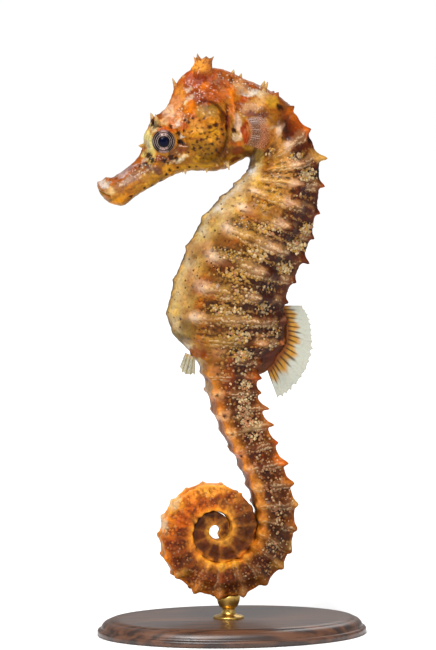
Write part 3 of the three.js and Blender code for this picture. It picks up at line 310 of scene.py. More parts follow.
GRAINY_PATCHES = [  # x, z, reach in x, reach in z, turn, amount
    (12.16, 78.3, 2.2, 1.4, 0, 1), (12, 69.11, 1.7, 1.4, 0, 1), (10.19, 66.13, 2.2, 1.5, 0, 1),
    (8.23, 62.64, 2.1, 1.5, 0, .9), (2.94, 65.27, 2.4, 1.2, -20, .9), (-1.26, 64.96, 3.5, 1.2, -20, .8),
    (.63, 48.07, 2.6, 1.5, 0, 1), (-.21, 51.06, 2.8, 1.7, 0, .9), (10.04, 81.42, 1.6, 1, 0, .8),
    (6.53, 78.9, 3.1, 2.4, 0, .3), (4.21, 75.09, 3.1, 2.4, 0, .35), (4.71, 69.44, 3.1, 1, -15, .95),
    (.42, 70.1, 2.8, 2.1, 0, .35), (-.65, 61.78, 4.1, 1.5, -15, .75), (.1, 58.45, 4.1, 1.5, -10, .75),
    (-2.35, 55.89, 3.5, 1.4, -5, .8), (.15, 53.85, 3.5, 1.4, 0, .7), (5.08, 59.78, 2.1, 1.5, 0, .45),
    (4.47, 55.86, 2.1, 1.5, 0, .7), (6.81, 51.76, 1.6, 1.4, 0, .6), (1.41, 40.6, 1.6, 1.7, 0, 1),
    (1.6, 42.79, 1.7, 1.4, 0, .9), (1.19, 38.25, 1.9, 1.5, 0, 1), (2.46, 36.48, 2.1, 1.2, 0, 1),
    (3.33, 34.07, 1.7, 1.2, 0, .9), (3.67, 31.17, 1.6, 1.5, 0, .6), (5.22, 28.24, 1.4, 1.5, 0, .6),
    (6.26, 25.14, 1.4, 1.5, 0, .7), (7.14, 21.69, 1.4, 1.7, 0, .7), (7.16, 18.26, 1.4, 1.7, 0, .7),
    (6.33, 15.02, 1.6, 1.5, 0, .7), (3.95, 12.32, 1.9, 1.4, 0, .5), (.87, 10.84, 2.2, 1.2, 0, .45),
    (-3.41, 10.07, 2.4, 1.2, 0, .36), (-6.84, 11.34, 1.9, 1.4, 0, .28), (-9.42, 14.49, 1.6, 1.5, 0, .28),
    (-10.24, 16.52, 1.4, 1.5, 0, .14), (-7.61, 19.83, 1.6, 1.7, 0, .13), (-3.29, 23.13, 2.4, 1.2, 0, .12),
    (.66, 22.19, 1.4, 1.5, 0, .14), (5.4, 82.6, 2.1, 1.4, 0, .5), (-3.74, 52.45, 2.1, 1.7, 0, .4),
    (-1.88, 47.58, 1.4, 1, 0, .6),
]
# where pale flecks painted as highlights (glints) lie on the head and shoulders
PAINTED_GLINT_PATCHES = [  # x, z, reach in x, reach in z, turn, amount
    (1.55, 93.61, 3.5, 1, -25, 1), (-1.42, 94.95, 1.6, .9, -25, .7), (-5.89, 92.39, 1.6, 1.5, 0, .6),
    (-6.46, 91.07, 1, 1, 0, .9), (-8.63, 88.89, 1.2, 1.4, 0, .8), (-9.65, 87.38, 1, .9, 0, .8),
    (-14.41, 81.03, 1, 1.7, 40, .35), (4.86, 92.87, 1.4, .9, -20, 1), (-3.83, 93.03, 1.4, 1, 0, .4),
    (3.09, 89.68, 2.4, 1, -15, .45), (.31, 89.06, 1, 1.4, 0, .4), (-22.23, 77.17, 1, .7, 0, .5),
    (-16.09, 79.19, 2.2, .9, 34, 1), (-19.15, 77.03, 2.1, .7, 34, .7), (-12.79, 81.56, 1.6, .7, 0, .4),
    (5.27, 77.6, 1.4, 1.7, 0, .4), (9.02, 80.93, 1.4, 1.4, 0, .5), (-14.28, 84.34, .9, 1.5, 20, .4),
]


# ---- curves and noise ----
def smooth_curve(stations, values):
    """A curve through the stations: a cubic between each two, whose slope at a station is the mean of
    the slopes beside it, weighted by nearness."""
    stations, values = np.array(stations, float), np.array(values, float)
    slopes = np.gradient(values, stations)

    def at(x):
        x = np.clip(x, stations[0], stations[-1])
        i = np.clip(np.searchsorted(stations, x, side="right") - 1, 0, len(stations) - 2)
        h = stations[i + 1] - stations[i]
        t = (x - stations[i]) / h
        u = 1 - t
        ends = u * u * (1 + 2 * t) * values[i] + t * t * (3 - 2 * t) * values[i + 1]
        return ends + t * u * h * (u * slopes[i] - t * slopes[i + 1])

    return at


def smooth_line(points, count):
    """That many points along a smooth curve through the given ones, evenly spaced by their number."""
    points = np.array(points, float)
    at = np.linspace(0, len(points) - 1, count)
    return np.stack([smooth_curve(range(len(points)), along)(at) for along in points.T], 1)


def round_turns(count):
    """Angles evenly spaced round a whole turn, in radians."""
    return np.linspace(0, 2 * np.pi, count, endpoint=False)


def step(low, high, x):
    """0 below low, 1 above high, and a smooth S between: 3t^2 - 2t^3."""
    t = np.clip((x - low) / (high - low), 0, 1)
    return t * t * (3 - 2 * t)


def drop(low, high, x):
    """1 below low, 0 above high, and the same S between."""
    return 1 - step(low, high, x)


def hill(start, full, fall, end, x):
    """0 up to start, 1 from full to fall and 0 again from end, with an S on each side."""
    return step(start, full, x) * drop(fall, end, x)


def bell(x, middle, width):
    """exp(-((x - middle) / width)^2): 1 at the middle and fading to 0 on both sides."""
    return np.exp(-((x - middle) / width) ** 2)


def unevenness(points, size, seed):
    """Smooth noise of about -1 to 1: the mean of ten sine waves in random directions, each of
    about the given wavelength."""
    rng = np.random.default_rng(seed)
    waves = rng.normal(size=(10, 3))
    waves *= 2 * np.pi / size * rng.uniform(.7, 1.5, (10, 1)) / np.linalg.norm(waves, axis=1, keepdims=True)
    return np.sin(points @ waves.T + rng.uniform(0, 2 * np.pi, 10)).mean(-1) * 1.9


def unit(v):
    """Vectors made one long."""
    return v / np.maximum(np.linalg.norm(v, axis=-1, keepdims=True), 1e-9)


# ---- meshes ----
def grid_faces(rows, columns, closed=False):
    """Quads between each row and the next of a grid of vertices, and round each row if it is closed."""
    across = np.arange(columns if closed else columns - 1)
    a = (np.arange(rows - 1)[:, None] * columns + across).ravel()
    b = (np.arange(rows - 1)[:, None] * columns + (across + 1) % columns).ravel()
    return np.stack([a, b, b + columns, a + columns], 1)


def fan_faces(ring, pole, turned=False):
    """Triangles from each edge of a closed ring of vertices to its pole."""
    a, b = np.asarray(ring), np.roll(ring, -1)
    if turned:
        a, b = b, a
    return np.stack([a, b, np.full(len(a), pole)], 1)


def make_piece(name, points, faces, finish, nodes=(), fields=None, tint=None):
    """A mesh from points in millimetres and a list of face arrays, with a value or a colour at each
    vertex for its finish to read. It rides on the body and stands for the nodes that it is given."""
    mesh = bpy.data.meshes.new(name)
    corners = np.concatenate([f.ravel() for f in faces])
    sides = np.concatenate([np.full(len(f), f.shape[1]) for f in faces])
    mesh.vertices.add(len(points))
    mesh.vertices.foreach_set("co", (np.asarray(points, float) * MM).ravel())
    mesh.loops.add(len(corners))
    mesh.loops.foreach_set("vertex_index", corners.astype(np.int32))
    mesh.polygons.add(len(sides))
    mesh.polygons.foreach_set("loop_start", (np.cumsum(sides) - sides).astype(np.int32))
    mesh.polygons.foreach_set("use_smooth", np.ones(len(sides), bool))
    mesh.update(calc_edges=True)
    mesh.validate()
    for field, values in (fields or {}).items():
        values = np.asarray(values, float).ravel()
        mesh.attributes.new(field, "FLOAT", "POINT").data.foreach_set("value", values)
    if tint is not None:
        colours = np.concatenate([tint, np.ones((len(tint), 1))], 1)
        mesh.attributes.new("tint", "FLOAT_COLOR", "POINT").data.foreach_set("color", colours.ravel())
    mesh.materials.append(finish)
    piece = bpy.data.objects.new(name, mesh)
    bpy.context.scene.collection.objects.link(piece)
    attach(piece, "root")
    if nodes:
        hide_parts(*nodes)


def frame_about(axis, ahead=(0, 0, 1)):
    """Two directions at right angles to an axis and to each other: (side, over)."""
    axis = unit(np.array(axis, float))
    side = unit(np.cross(ahead, axis))
    return side, np.cross(axis, side)


def turned_form(profile, base, axis, columns, ahead=(0, 0, 1)):
    """A profile of (radius, height) turned about an axis from its base: each point is
    base + axis height + radius (side cos angle + over sin angle). Returns (rows, columns, 3)."""
    side, over = frame_about(axis, ahead)
    angle = round_turns(columns)
    round_it = np.cos(angle)[:, None] * side + np.sin(angle)[:, None] * over
    profile = np.array(profile, float)
    return (np.array(base, float) + profile[:, 1, None, None] * unit(np.array(axis, float))
            + profile[:, 0, None, None] * round_it)


def closed_form(rings):
    """Points and faces of a stack of closed rings with a pole at each end, faces outwards when the
    rings run anticlockwise as seen from the last."""
    rows, columns = rings.shape[:2]
    points = np.concatenate([rings.reshape(-1, 3), rings[:1].mean(1), rings[-1:].mean(1)])
    faces = [grid_faces(rows, columns, True),
             fan_faces(np.arange(columns), rows * columns, turned=True),
             fan_faces(np.arange(columns) + (rows - 1) * columns, rows * columns + 1)]
    return points, faces


# ---- the body's lines: ring number to back, belly and half width ----
def coil_ribs():
    """The coil's ribs: each stands across a spiral whose radius and depth change with the turn."""
    quarters = range(len(COIL_RADIUS))
    radius_at, depth_at = smooth_curve(quarters, COIL_RADIUS), smooth_curve(quarters, COIL_DEPTH)
    turn_at = smooth_curve(list(COIL_TURN), list(COIL_TURN.values()))
    ring = np.array(COIL_RINGS, float)
    turn = turn_at(ring)
    radius, half = radius_at(turn / 90), depth_at(turn / 90) / 2
    x = COIL_CENTRE[0] + radius * np.cos(np.radians(turn))
    z = COIL_CENTRE[1] - radius * np.sin(np.radians(turn))
    dx = half * np.cos(np.radians(turn + COIL_RIB_TILT))
    dz = -half * np.sin(np.radians(turn + COIL_RIB_TILT))
    return np.stack([ring, x + dx, z + dz, x - dx, z - dz, half * COIL_WIDTH_SHARE], 1)


ribs = np.concatenate([np.array(RIBS, float), coil_ribs()])
back_x, back_z, belly_x, belly_z, half_width_at = (
    smooth_curve(ribs[:, 0], values) for values in ribs.T[1:])
section_rings = np.array([ring for ring, form in SECTION_AT], float)
section_corners = np.array([form[0] for ring, form in SECTION_AT], float)
section_bulges = np.array([form[1] for ring, form in SECTION_AT], float)
# column numbers round the section: 0 at the back, 4 at the belly, and up the right side towards 8
around_half = np.concatenate([np.linspace(face, face + 1, steps, endpoint=False)
                              for face, steps in enumerate(FACE_STEPS)] + [[4.0]])
around = np.concatenate([around_half, 8 - around_half[-2:0:-1]])


def off_back(column):
    """The column number counted down either side from the back: 0 to 4."""
    return np.minimum(column, 8 - column)


def rib_frame(ring):
    """The middle of the rib, its half depth, its direction up from belly to back, and along the body."""
    back = np.stack([back_x(ring), 0 * ring, back_z(ring)], -1)
    belly = np.stack([belly_x(ring), 0 * ring, belly_z(ring)], -1)
    half = np.linalg.norm(back - belly, axis=-1) / 2
    up = unit(back - belly)
    along = np.stack([up[..., 2], 0 * ring, -up[..., 0]], -1)
    return (back + belly) / 2, half, up, along


def section_points(ring):
    """Across and up of each point round the section at each ring: straight from corner to corner,
    bulged as a parabola, then rounded by repeated averaging with the neighbours. On the head it is
    rounded more. On the head and the coil it is stretched back to its full depth and width."""
    i = np.clip(np.searchsorted(section_rings, ring, side="right") - 1, 0, len(section_rings) - 2)
    t = step(section_rings[i], section_rings[i + 1], ring)
    corners = section_corners[i] * (1 - t)[:, None, None] + section_corners[i + 1] * t[:, None, None]
    bulges = section_bulges[i] * (1 - t)[:, None] + section_bulges[i + 1] * t[:, None]
    half_depth = rib_frame(ring)[1]
    corners = corners * np.stack([half_width_at(ring), half_depth], -1)[:, None, :]
    face = np.minimum(around_half.astype(int), 3)
    t = (around_half - face)[None, :, None]
    edge = corners[:, face + 1] - corners[:, face]
    out = np.stack([-edge[..., 1], edge[..., 0]], -1)
    left = corners[:, face] + edge * t + out * (bulges[:, face][..., None] * 4 * t * (1 - t))
    section = full = np.concatenate([left, left[:, -2:0:-1] * (-1, 1)], 1)
    rounded = []
    for done in range(1, SOFT_PASSES + 1):
        section = (np.roll(section, 1, 1) + 2 * section + np.roll(section, -1, 1)) / 4
        if done in (USUAL_PASSES, SOFT_PASSES):
            rounded.append(section)
    head = drop(-2, 2, ring)[:, None, None]
    restored = np.maximum(head, step(22, 26, ring)[:, None, None])
    for part in rounded:
        reach = [pick(full, 1, keepdims=True) / pick(part, 1, keepdims=True) for pick in (np.min, np.max)]
        part *= np.where(part < 0, *reach) ** restored
    usual, soft = rounded
    return soft * head + usual * (1 - head)


def spans(rows):
    """Ring numbers evenly spaced over each span, and the last span's end."""
    return np.concatenate([np.linspace(a, b, n, endpoint=False) for a, b, n in rows] + [[rows[-1][1]]])


def tubercle_push(ring, arc, length, half_width):
    """How far each ridge's tubercles raise the skin and carry it along the body. With r the distance
    from its peak over its reach, measured along the body and round the section, a tubercle is half a
    cone (1 - r)^1.4 and half a knob, or where it is round-topped a dome (1 - r^2)^1.5."""
    raised, carried = np.zeros_like(arc), np.zeros_like(arc)
    nearest = np.round(ring)
    for line, (first, last, usual, lean, larger) in TUBERCLES.items():
        height = np.where((nearest >= first) & (nearest <= last), float(usual), 0.0)
        for n, value in larger.items():
            height[nearest == n] = value
        height *= np.where(nearest > SHRINK_FROM, np.minimum(1, half_width / half_width_at(SHRINK_FROM)), 1)
        at = np.searchsorted(around_half, line)
        reach = (.85 + .25 * height) * np.minimum(1, half_width / 3.2)
        beside = np.minimum(*(np.abs(arc - arc[:, peak:peak + 1]) for peak in (at, AROUND - at)))
        off_ring = (ring - nearest)[:, None] * length
        r = np.clip(np.hypot(off_ring / (reach * .95)[:, None], beside / (reach * 1.2)[:, None]), 0, 1)
        start, full = ROUND_TOPS.get(line, (99, 100))
        round_top = step(start, full, ring)[:, None]
        knob = .5 * (1 - r) ** 1.4 + .5 * drop(.15, .55, r)
        bump = knob * (1 - round_top) + (1 - r ** 2) ** 1.5 * round_top
        raised += height[:, None] * bump
        carried += (height * lean)[:, None] * bump
    return raised, carried


# ---- forms of the head, as seen from the side: lines of x, z points with their height and half width ----
EYE_CENTRE = (-12.2, 84.2)
GILL_COVER = (-5.05, 85.6, 3.35, 4.95)  # centre and half axes
HEAD_FORMS = [
    ([(-7.8, 90.5), (-7.4, 88.8)], .75, .95), ([(-8.9, 92.3), (-9.2, 90.6)], .4, .75),
    ([(-8.4, 91.2), (-8.3, 89.4)], -.3, .32), ([(-7.4, 91.9), (-6.2, 92.6)], -.35, .4),
    ([(-12.4, 87), (-10.2, 88.2), (-8.7, 88.4)], .35, .6), ([(-10.6, 86.9), (-8.9, 86.6)], .22, .4),
    ([(-5.8, 94), (-4, 93), (-1.9, 91.3), (-.6, 92.2)], .4, .4),
    ([(-6.7, 90.6), (-5, 91.4), (-2.9, 90.6), (-1.75, 88.6)], .22, .2),
    ([(-6.2, 91.5), (-4, 92), (-2.3, 90.7), (-1.4, 89.2)], .2, .17),
    ([(-.7, 92.2), (-.5, 89.8), (-.35, 87.4)], .42, .36),
    ([(-3.4, 94.3), (-2.2, 92.6), (-.9, 93.4)], -.35, .3),
    ([(-2.4, 93.9), (.6, 92.9), (3.4, 91.9)], .35, .5), ([(-1.2, 92.9), (1.5, 91.2)], -.3, .4),
    ([(1.2, 90.2), (5.4, 89.6)], .25, .5), ([(-9.45, 84.1)], -.6, .75),
    ([(-10, 85.2), (-8.3, 85.1)], .2, .2),
    ([(-8.3, 83), (-7.2, 81.5), (-6.4, 80.8), (-4.6, 80.5)], .16, .15),
    ([(-10.6, 80.9), (-8.6, 81.4)], .25, .5), ([(-13.6, 80.3), (-20.4, 76.7)], -.14, .35),
    ([(-14, 81.6), (-20.6, 77.5)], .12, .4),
    ([(.8, 87.7), (1.6, 86.7), (1.95, 85.4), (1.7, 83.4)], .5, .36),
    ([(.1, 88.2), (.2, 86.2), (.3, 84.6)], -.25, .4),
]
FORM_STRENGTH = 1.35  # what all their heights are multiplied by
LIP_FORMS = [([(-23.3, 75.9), (-22.3, 75.3), (-21.2, 74.9)], -.75, .26),  # the mouth's cleft, then the lips
             ([(-22.6, 76.4)], .16, .7), ([(-22.1, 74.4)], .45, .5), ([(-21.5, 77.9)], .22, .4)]
ORBIT_OUT, ORBIT_RADIUS, SOCKET_DEPTH = 3.05, 2.1, 1.2  # how far the orbit stands from the median plane


def line_distance(x, z, line):
    """Distance of each point (x, z) from the nearest piece of a line of points."""
    nearest = np.full(np.shape(x), 1e9)
    ends = line[1:] or line
    for (x0, z0), (x1, z1) in zip(line, ends):
        dx, dz = x1 - x0, z1 - z0
        t = np.clip(((x - x0) * dx + (z - z0) * dz) / max(dx * dx + dz * dz, 1e-9), 0, 1)
        nearest = np.minimum(nearest, np.hypot(x - x0 - t * dx, z - z0 - t * dz))
    return nearest


def forms_height(x, z, forms):
    """The sum over the forms of height times a bell of the distance from the form's line."""
    return sum(height * bell(line_distance(x, z, line), 0, width) for line, height, width in forms)


def shape_head(place, ring, half_width):
    """Moves the flanks of the head in and out: the orbit's mound with the socket in it, the gill
    cover's dome with the crease round it, and each form as its height times a bell of the distance
    from its line. Then it moves the lips in and out from the snout's middle, likewise."""
    x, y, z = place[..., 0], place[..., 1], place[..., 2]
    flank = step(.3, .75, np.abs(y) / half_width[:, None]) * drop(1.0, 2.2, ring)[:, None]
    cx, cz, rx, rz = GILL_COVER
    r = np.hypot((x - cx) / rx, (z - cz) / rz)
    rear = .4 + .6 * step(-.3, .5, (x - cx) / rx - .3 * (z - cz) / rz)
    out = .7 * np.clip(1 - r ** 4, 0, 1) - .42 * rear * bell(r, 1.07, .06) + .34 * rear * bell(r, 1.2, .08)
    out += FORM_STRENGTH * forms_height(x, z, HEAD_FORMS)
    wide = np.abs(y) + out * flank
    rho = np.hypot(x - EYE_CENTRE[0], z - EYE_CENTRE[1])
    wide += np.maximum(ORBIT_OUT - wide, 0) * drop(ORBIT_RADIUS, 3.7, rho) * flank
    socket = np.minimum(wide, ORBIT_OUT - SOCKET_DEPTH * drop(1.2, ORBIT_RADIUS, rho))
    wide = np.where((rho < ORBIT_RADIUS) & (flank > .3), socket, wide)
    place[..., 1] = np.sign(y) * wide
    middle = np.stack([x.mean(1), 0 * ring, z.mean(1)], -1)[:, None]
    tip = drop(-18.6, -16.5, ring)[:, None]
    return place + unit(place - middle) * (forms_height(x, z, LIP_FORMS) * tip)[..., None]


def coil_relief(ring, across, size):
    """What the tail's lower ridges add to the skin, each a bell or a step of the column number over a
    stretch of rings: the outer corner, the row of beads at the inner edge, and the flat back."""
    inner_edge = step(2.6, 3, across)
    beads = (.22 + .06 * np.cos(2 * np.pi * ring)) * step(25, 28, ring)
    raised = .18 * step(24, 28, ring) * np.maximum(bell(across, 1, .4), inner_edge)
    raised = raised + beads * size * bell(across, 3, .3)
    raised += .1 * hill(36, 38, 46, 48, ring) * drop(1, 1.5, across)
    raised += .15 * hill(17, 20, 25, 27, ring) * inner_edge
    return raised + .2 * hill(38, 39.5, 42.5, 44, ring) * drop(.8, 1.4, across)


def skin_surface():
    """The skin over the whole animal: at each ring the section stands across the body, raised
    radially by the ring's crest, the tubercles, the fin's fleshy root and a little unevenness."""
    rings = spans(ROWS)
    middle, _, up, along = rib_frame(rings)
    half_width = half_width_at(rings)
    section = section_points(rings)
    left = np.array([0, -1.0, 0])
    place = middle[:, None] + section[..., 1:] * up[:, None] + section[..., :1] * left
    arc = np.linalg.norm(np.roll(section, -1, 1) - section, axis=-1)
    arc = np.concatenate([0 * arc[:, :1], np.cumsum(arc, 1)[:, :-1]], 1)
    girth = arc[:, -1:] + arc[:, 1:2]
    length = np.linalg.norm(np.gradient(place, rings, axis=0), axis=-1)
    radial = unit(section)
    radial = radial[..., 1:] * up[:, None] + radial[..., :1] * left
    raised, carried = tubercle_push(rings, arc, length, half_width)
    ring, across = rings[:, None], off_back(around)
    size = np.minimum(1, half_width / 3)[:, None]
    off_rib = (ring - np.round(ring)) * length
    crest = bell(off_rib, 0, np.where(off_rib < 0, .95, .6) * size)
    wavering = .75 + .4 * unevenness(place, 3, 3)
    smooth_coil = step(24, 28, ring) * np.maximum(drop(.3, .9, across), .75 * step(2.5, 3.0, across))
    flat = .15 * step(3.2, 3.8, across) + smooth_coil
    raised += hill(.4, 1.4, 45, 48, ring) * size * (.46 * crest * wavering - .15) * (1 - flat)
    raised += coil_relief(ring, across, size)
    hump = smooth_curve(list(BACK_FIN_ROOT), list(BACK_FIN_ROOT.values()))(rings)
    hump = np.where((rings > min(BACK_FIN_ROOT)) & (rings < max(BACK_FIN_ROOT)), hump, 0)
    raised += hump[:, None] * bell(np.minimum(arc, girth - arc), 0, 1.7)
    raised += (.09 * unevenness(place, 1.6, 1) + .05 * unevenness(place, .7, 2)) * size
    place = place + radial * raised[..., None] + along[:, None] * carried[..., None]
    head = rings < HEAD_TO
    place[head] = shape_head(place[head], rings[head], half_width[head])
    return rings, place


def domed_ends(ring, place):
    """Adds the snout's and the tail's rounded ends: shrinking copies of the last ring, each moved
    further out, as a quarter circle."""
    turns = np.radians(np.arange(1, DOME_ROWS + 1) * 90 / (DOME_ROWS + 1))[:, None, None]

    def dome(end, within, height):
        middle = end.mean(0)
        outwards = unit(middle - within.mean(0))
        return middle + (end - middle) * np.cos(turns) + outwards * height * np.sin(turns)

    before, after = dome(place[0], place[6], .5)[::-1], dome(place[-1], place[-8], .3)
    ring = np.concatenate([np.full(DOME_ROWS, ring[0]), ring, np.full(DOME_ROWS, ring[-1])])
    return ring, np.concatenate([before, place, after])


def thin_out(values):
    """Every ring's values at the coarser spacing of the tail, by straight lines between columns."""
    at = np.arange(COARSE) * AROUND / COARSE
    i, t = at.astype(int), at % 1
    t = t.reshape((1, -1) + (1,) * (values.ndim - 2))
    return values[:, i] * (1 - t) + values[:, (i + 1) % AROUND] * t


def joining_faces(fine, coarse):
    """Faces between a ring of five columns and a ring of three for every stretch they share."""
    stretches = AROUND // 5
    f = fine + (np.arange(stretches)[:, None] * 5 + np.arange(6)) % AROUND
    c = coarse + (np.arange(stretches)[:, None] * 3 + np.arange(4)) % COARSE
    both = np.concatenate([f, c], 1)  # columns 0 to 5 are the finer ring's, 6 to 9 the coarser's
    corners = [(0, 1, 6), (1, 7, 6), (1, 2, 7), (2, 3, 7), (3, 8, 7), (3, 4, 8), (4, 9, 8), (4, 5, 9)]
    return np.concatenate([both[:, corner] for corner in corners])


# ---- the coat of paint ----
WET_DEPTH = (.64, .62, .6)  # how much the wet skin darkens its paint: red, green, blue
RICHNESS = (1.18, 1.25, 1.38)  # the powers it raises its paint to, which deepen the dark colours most
# what is added to or taken from the coat's red, green and blue on three parts of the trunk, as shares
BACK_TINT, LOIN_TINT, THROAT_TINT = (-.03, -.25, -.5), (-.16, -.26, -.42), (.1, .2, .6)
KNOB_COLOUR = "DCC0A4"

# colours from the back's middle to the belly's: column, colour
TRUNK_COAT = [(0, "4E3018"), (.9, "6E4420"), (1.3, "84501F"), (2.1, "7A4A24"), (2.35, "C4985C"),
              (2.6, "B8883C"), (2.9, "CC9C4C"), (3.1, "D0A050"), (3.4, "E8CE94"), (3.75, "E4DCCC"),
              (3.92, "A89C8C"), (4, "6A5E60")]
TAIL_COAT = [(0, "8C6C4A"), (.55, "8C6038"), (1, "BC7A38"), (1.4, "7C4A20"), (2.3, "784820"),
             (2.75, "B47A38"), (3, "CC8C44"), (3.4, "A0682C"), (4, "745018")]
COIL_COAT = [(0, "B8A080"), (.6, "C49858"), (1, "D88C34"), (1.4, "B06426"), (2.2, "985426"),
             (2.7, "B87430"), (3, "CC8C3C"), (3.4, "B08448"), (4, "8C7450")]
INNER_COAT = [(0, "4A3018"), (1, "6A4424"), (1.6, "58341A"), (2.4, "6A4020"), (3, "B88844"),
              (3.5, "B48C4C"), (4, "98744C")]
HEAD_COAT = [(0, "B87840"), (1, "BC7030"), (2, "C08838"), (3, "B88C38"), (4, "B89448")]
COATS = [(-19, HEAD_COAT), (-1, HEAD_COAT), (2, TRUNK_COAT), (11.5, TRUNK_COAT), (13.5, TAIL_COAT),
         (26, TAIL_COAT), (29.5, COIL_COAT), (35.5, COIL_COAT), (38, INNER_COAT), (50, INNER_COAT)]


def rgb(code):
    """A colour's hex code as linear red, green and blue."""
    part = np.array([int(code[i:i + 2], 16) for i in (0, 2, 4)]) / 255
    return np.where(part <= .04045, part / 12.92, ((part + .055) / 1.055) ** 2.4)


def blend(under, over, share):
    """Colours from under to over, as far as share says."""
    return under + (over - under) * share[..., None]


def covered(under, *layers):
    """Colours covered by each layer in turn, as far as its share says: (colour code, share)."""
    for code, share in layers:
        under = blend(under, rgb(code), share)
    return under


def base_coat(ring, column):
    """The coat's colour at each ring and column: straight blends between a coat's columns, and smooth
    blends between one coat and the next along the body."""
    across = off_back(column)
    tables = []
    for station, coat in COATS:
        at = [c for c, code in coat]
        shades = np.array([rgb(code) for c, code in coat])
        tables.append(np.stack([np.interp(across, at, shades[:, k]) for k in range(3)], -1))
    colour = tables[0]
    for k in range(1, len(COATS)):
        colour = colour + (tables[k] - colour) * step(COATS[k - 1][0], COATS[k][0], ring)[..., None]
    return colour


def patch_weight(x, z, cx, cz, reach_x, reach_z, turn, soft=.38):
    """1 inside a turned ellipse, fading to 0 outside it."""
    c, s = math.cos(math.radians(turn)), math.sin(math.radians(turn))
    u, v = (x - cx) * c + (z - cz) * s, (z - cz) * c - (x - cx) * s
    return drop(1 - soft, 1 + soft * .6, np.hypot(u / reach_x, v / reach_z))


def paint(points, ring, column):
    """The colour of each point: the base coat, then each patch in turn with a wavering edge, the
    marks of the gill cover and the ridges, and the dots; all darkened and enriched as wet skin is."""
    across = off_back(column)
    x = points[:, 0] + .3 * unevenness(points, 2.4, 11) + .2 * unevenness(points, .9, 12)
    z = points[:, 2] + .3 * unevenness(points, 2.4, 13) + .2 * unevenness(points, .9, 14)
    colour = base_coat(ring, column)
    groups = [(HEAD_PATCHES, ring < 2.2), (SHOULDER_PATCHES, (ring > -1) & (ring < 9)),
              (LOWER_TRUNK_PATCHES, (ring > 4) & (ring < 16)), (TAIL_PATCHES, ring > 12)]
    for patches, here in groups:
        layers = ((code, strength * patch_weight(x[here], z[here], *place))
                  for *place, code, strength in patches)
        colour[here] = covered(colour[here], *layers)
    head = ring < 1
    colour[head] = gill_marks(colour[head], points[head])
    colour = ridge_marks(colour, points, ring, across)
    uneven = 1 + .55 * unevenness(points, .55, 17)
    # pale dots: the skin's spots, and on the forehead, above the eye and on the nape painted highlights
    for dots, code, strength in ((PALE_SPOTS_AND_GLINTS, "F4DCB4", .6), (DARK_DOTS, "2E140A", .9)):
        for cx, cz, radius in dots:
            far = np.hypot(points[:, 0] - cx, points[:, 2] - cz) / (radius * uneven)
            colour = covered(colour, (code, strength * drop(.55, 1.25, far) * (ring < 18)))
    wet = np.clip(colour, 0, 1) ** RICHNESS * WET_DEPTH * region_tints(ring, across)
    wet = covered(wet, (KNOB_COLOUR, .6 * front_knobs(ring, across)))
    wet *= 1 - .45 * (graininess(points, ring, column) * step(2, 4, ring))[:, None]
    return np.clip(wet * (1 + .12 * unevenness(points, .8, 15))[:, None], 0, 1)


def paint_near(points, ring, column):
    """The skin's paint on points that all count as lying at one ring and column."""
    return paint(points, np.full(len(points), float(ring)), np.full(len(points), float(column)))


def region_tints(ring, across):
    """What the coat's red, green and blue are multiplied by from one part of the body to the next:
    hills and steps of the ring and the column number."""
    chest = hill(1.5, 3, 5, 6.5, ring) * step(1.6, 2, across)
    loins = hill(6.3, 8, 10.5, 12, ring) * step(1.9, 2.3, across)
    back = hill(1.5, 2.5, 12, 15, ring) * drop(2, 2.4, across)
    throat = hill(1.5, 3, 6, 8, ring) * step(3.1, 3.5, across)
    side = hill(.4, .9, 3.3, 3.8, across)
    bright = 1 + .32 * hill(12, 14, 19, 21, ring) + .55 * step(22, 28, ring)
    bright += (.35 * side - .25 * (1 - side)) * hill(31, 33.5, 36, 38, ring)
    bright += (.38 * chest - .25 * loins) * drop(3.3, 3.8, across)
    tint = bright[:, None]
    for amounts, here in ((BACK_TINT, back), (LOIN_TINT, loins), (THROAT_TINT, throat)):
        tint = tint * (1 + np.array(amounts) * here[:, None])
    return tint


def on_trunk(ring):
    """1 on the trunk's middle rings, fading to 0 at both ends."""
    return hill(3, 5.5, 10, 11, ring)


def rib_wave(ring):
    """1 at each rib and 0 midway between two, as a cosine."""
    return .5 + .5 * np.cos(2 * np.pi * ring)


def front_knobs(ring, across):
    """1 on the knob that each rib of the trunk has at the flank's front edge, fading to 0 around it."""
    return on_trunk(ring) * rib_wave(ring) ** 3 * bell(across, 3.12, .19)


def ridge_marks(colour, points, ring, across):
    """Paints the long ridges after the patches, each mark a narrow bell of the column number. The
    flank's upper edge is scalloped by a wave of the ring number, dark behind and pale at each ring; the
    belly's edge has a pale band, painted as a highlight, and a dark line; along the coil's inner edge
    lies a row of gold beads."""
    wave, trunk = rib_wave(ring), on_trunk(ring)
    edge = 2.32 - .22 * wave + .05 * unevenness(points, 1, 19)
    past_edge = step(edge - .04, edge + .04, across)
    along = hill(.2, 1, 10, 10.8, ring)
    return covered(
        colour,
        ("52260E", .68 * along * step(1.1, 1.7, across) * (1 - past_edge)),
        ("D8A468", .5 * along * past_edge * drop(edge + .1, edge + .5, across)),
        ("ECD4C8", .9 * along * wave ** 2 * bell(across, edge + .1, .14)),
        # pale band along the belly's edge: a painted highlight
        ("E0D8C0", .6 * trunk * bell(across, 3.78, .07)),
        ("4A4048", .75 * trunk * step(3.88, 4.0, across)),
        ("E8B050", .6 * step(19, 23, ring) * wave ** 2 * bell(across, 3, .2)),
        ("D88428", .65 * trunk * rib_wave(ring - .2) ** 2.5 * bell(across, 2.84, .18)),
        ("FFDCC0", .95 * front_knobs(ring, across)),
        ("B88444", .4 * step(28, 34, ring) * wave ** 8))


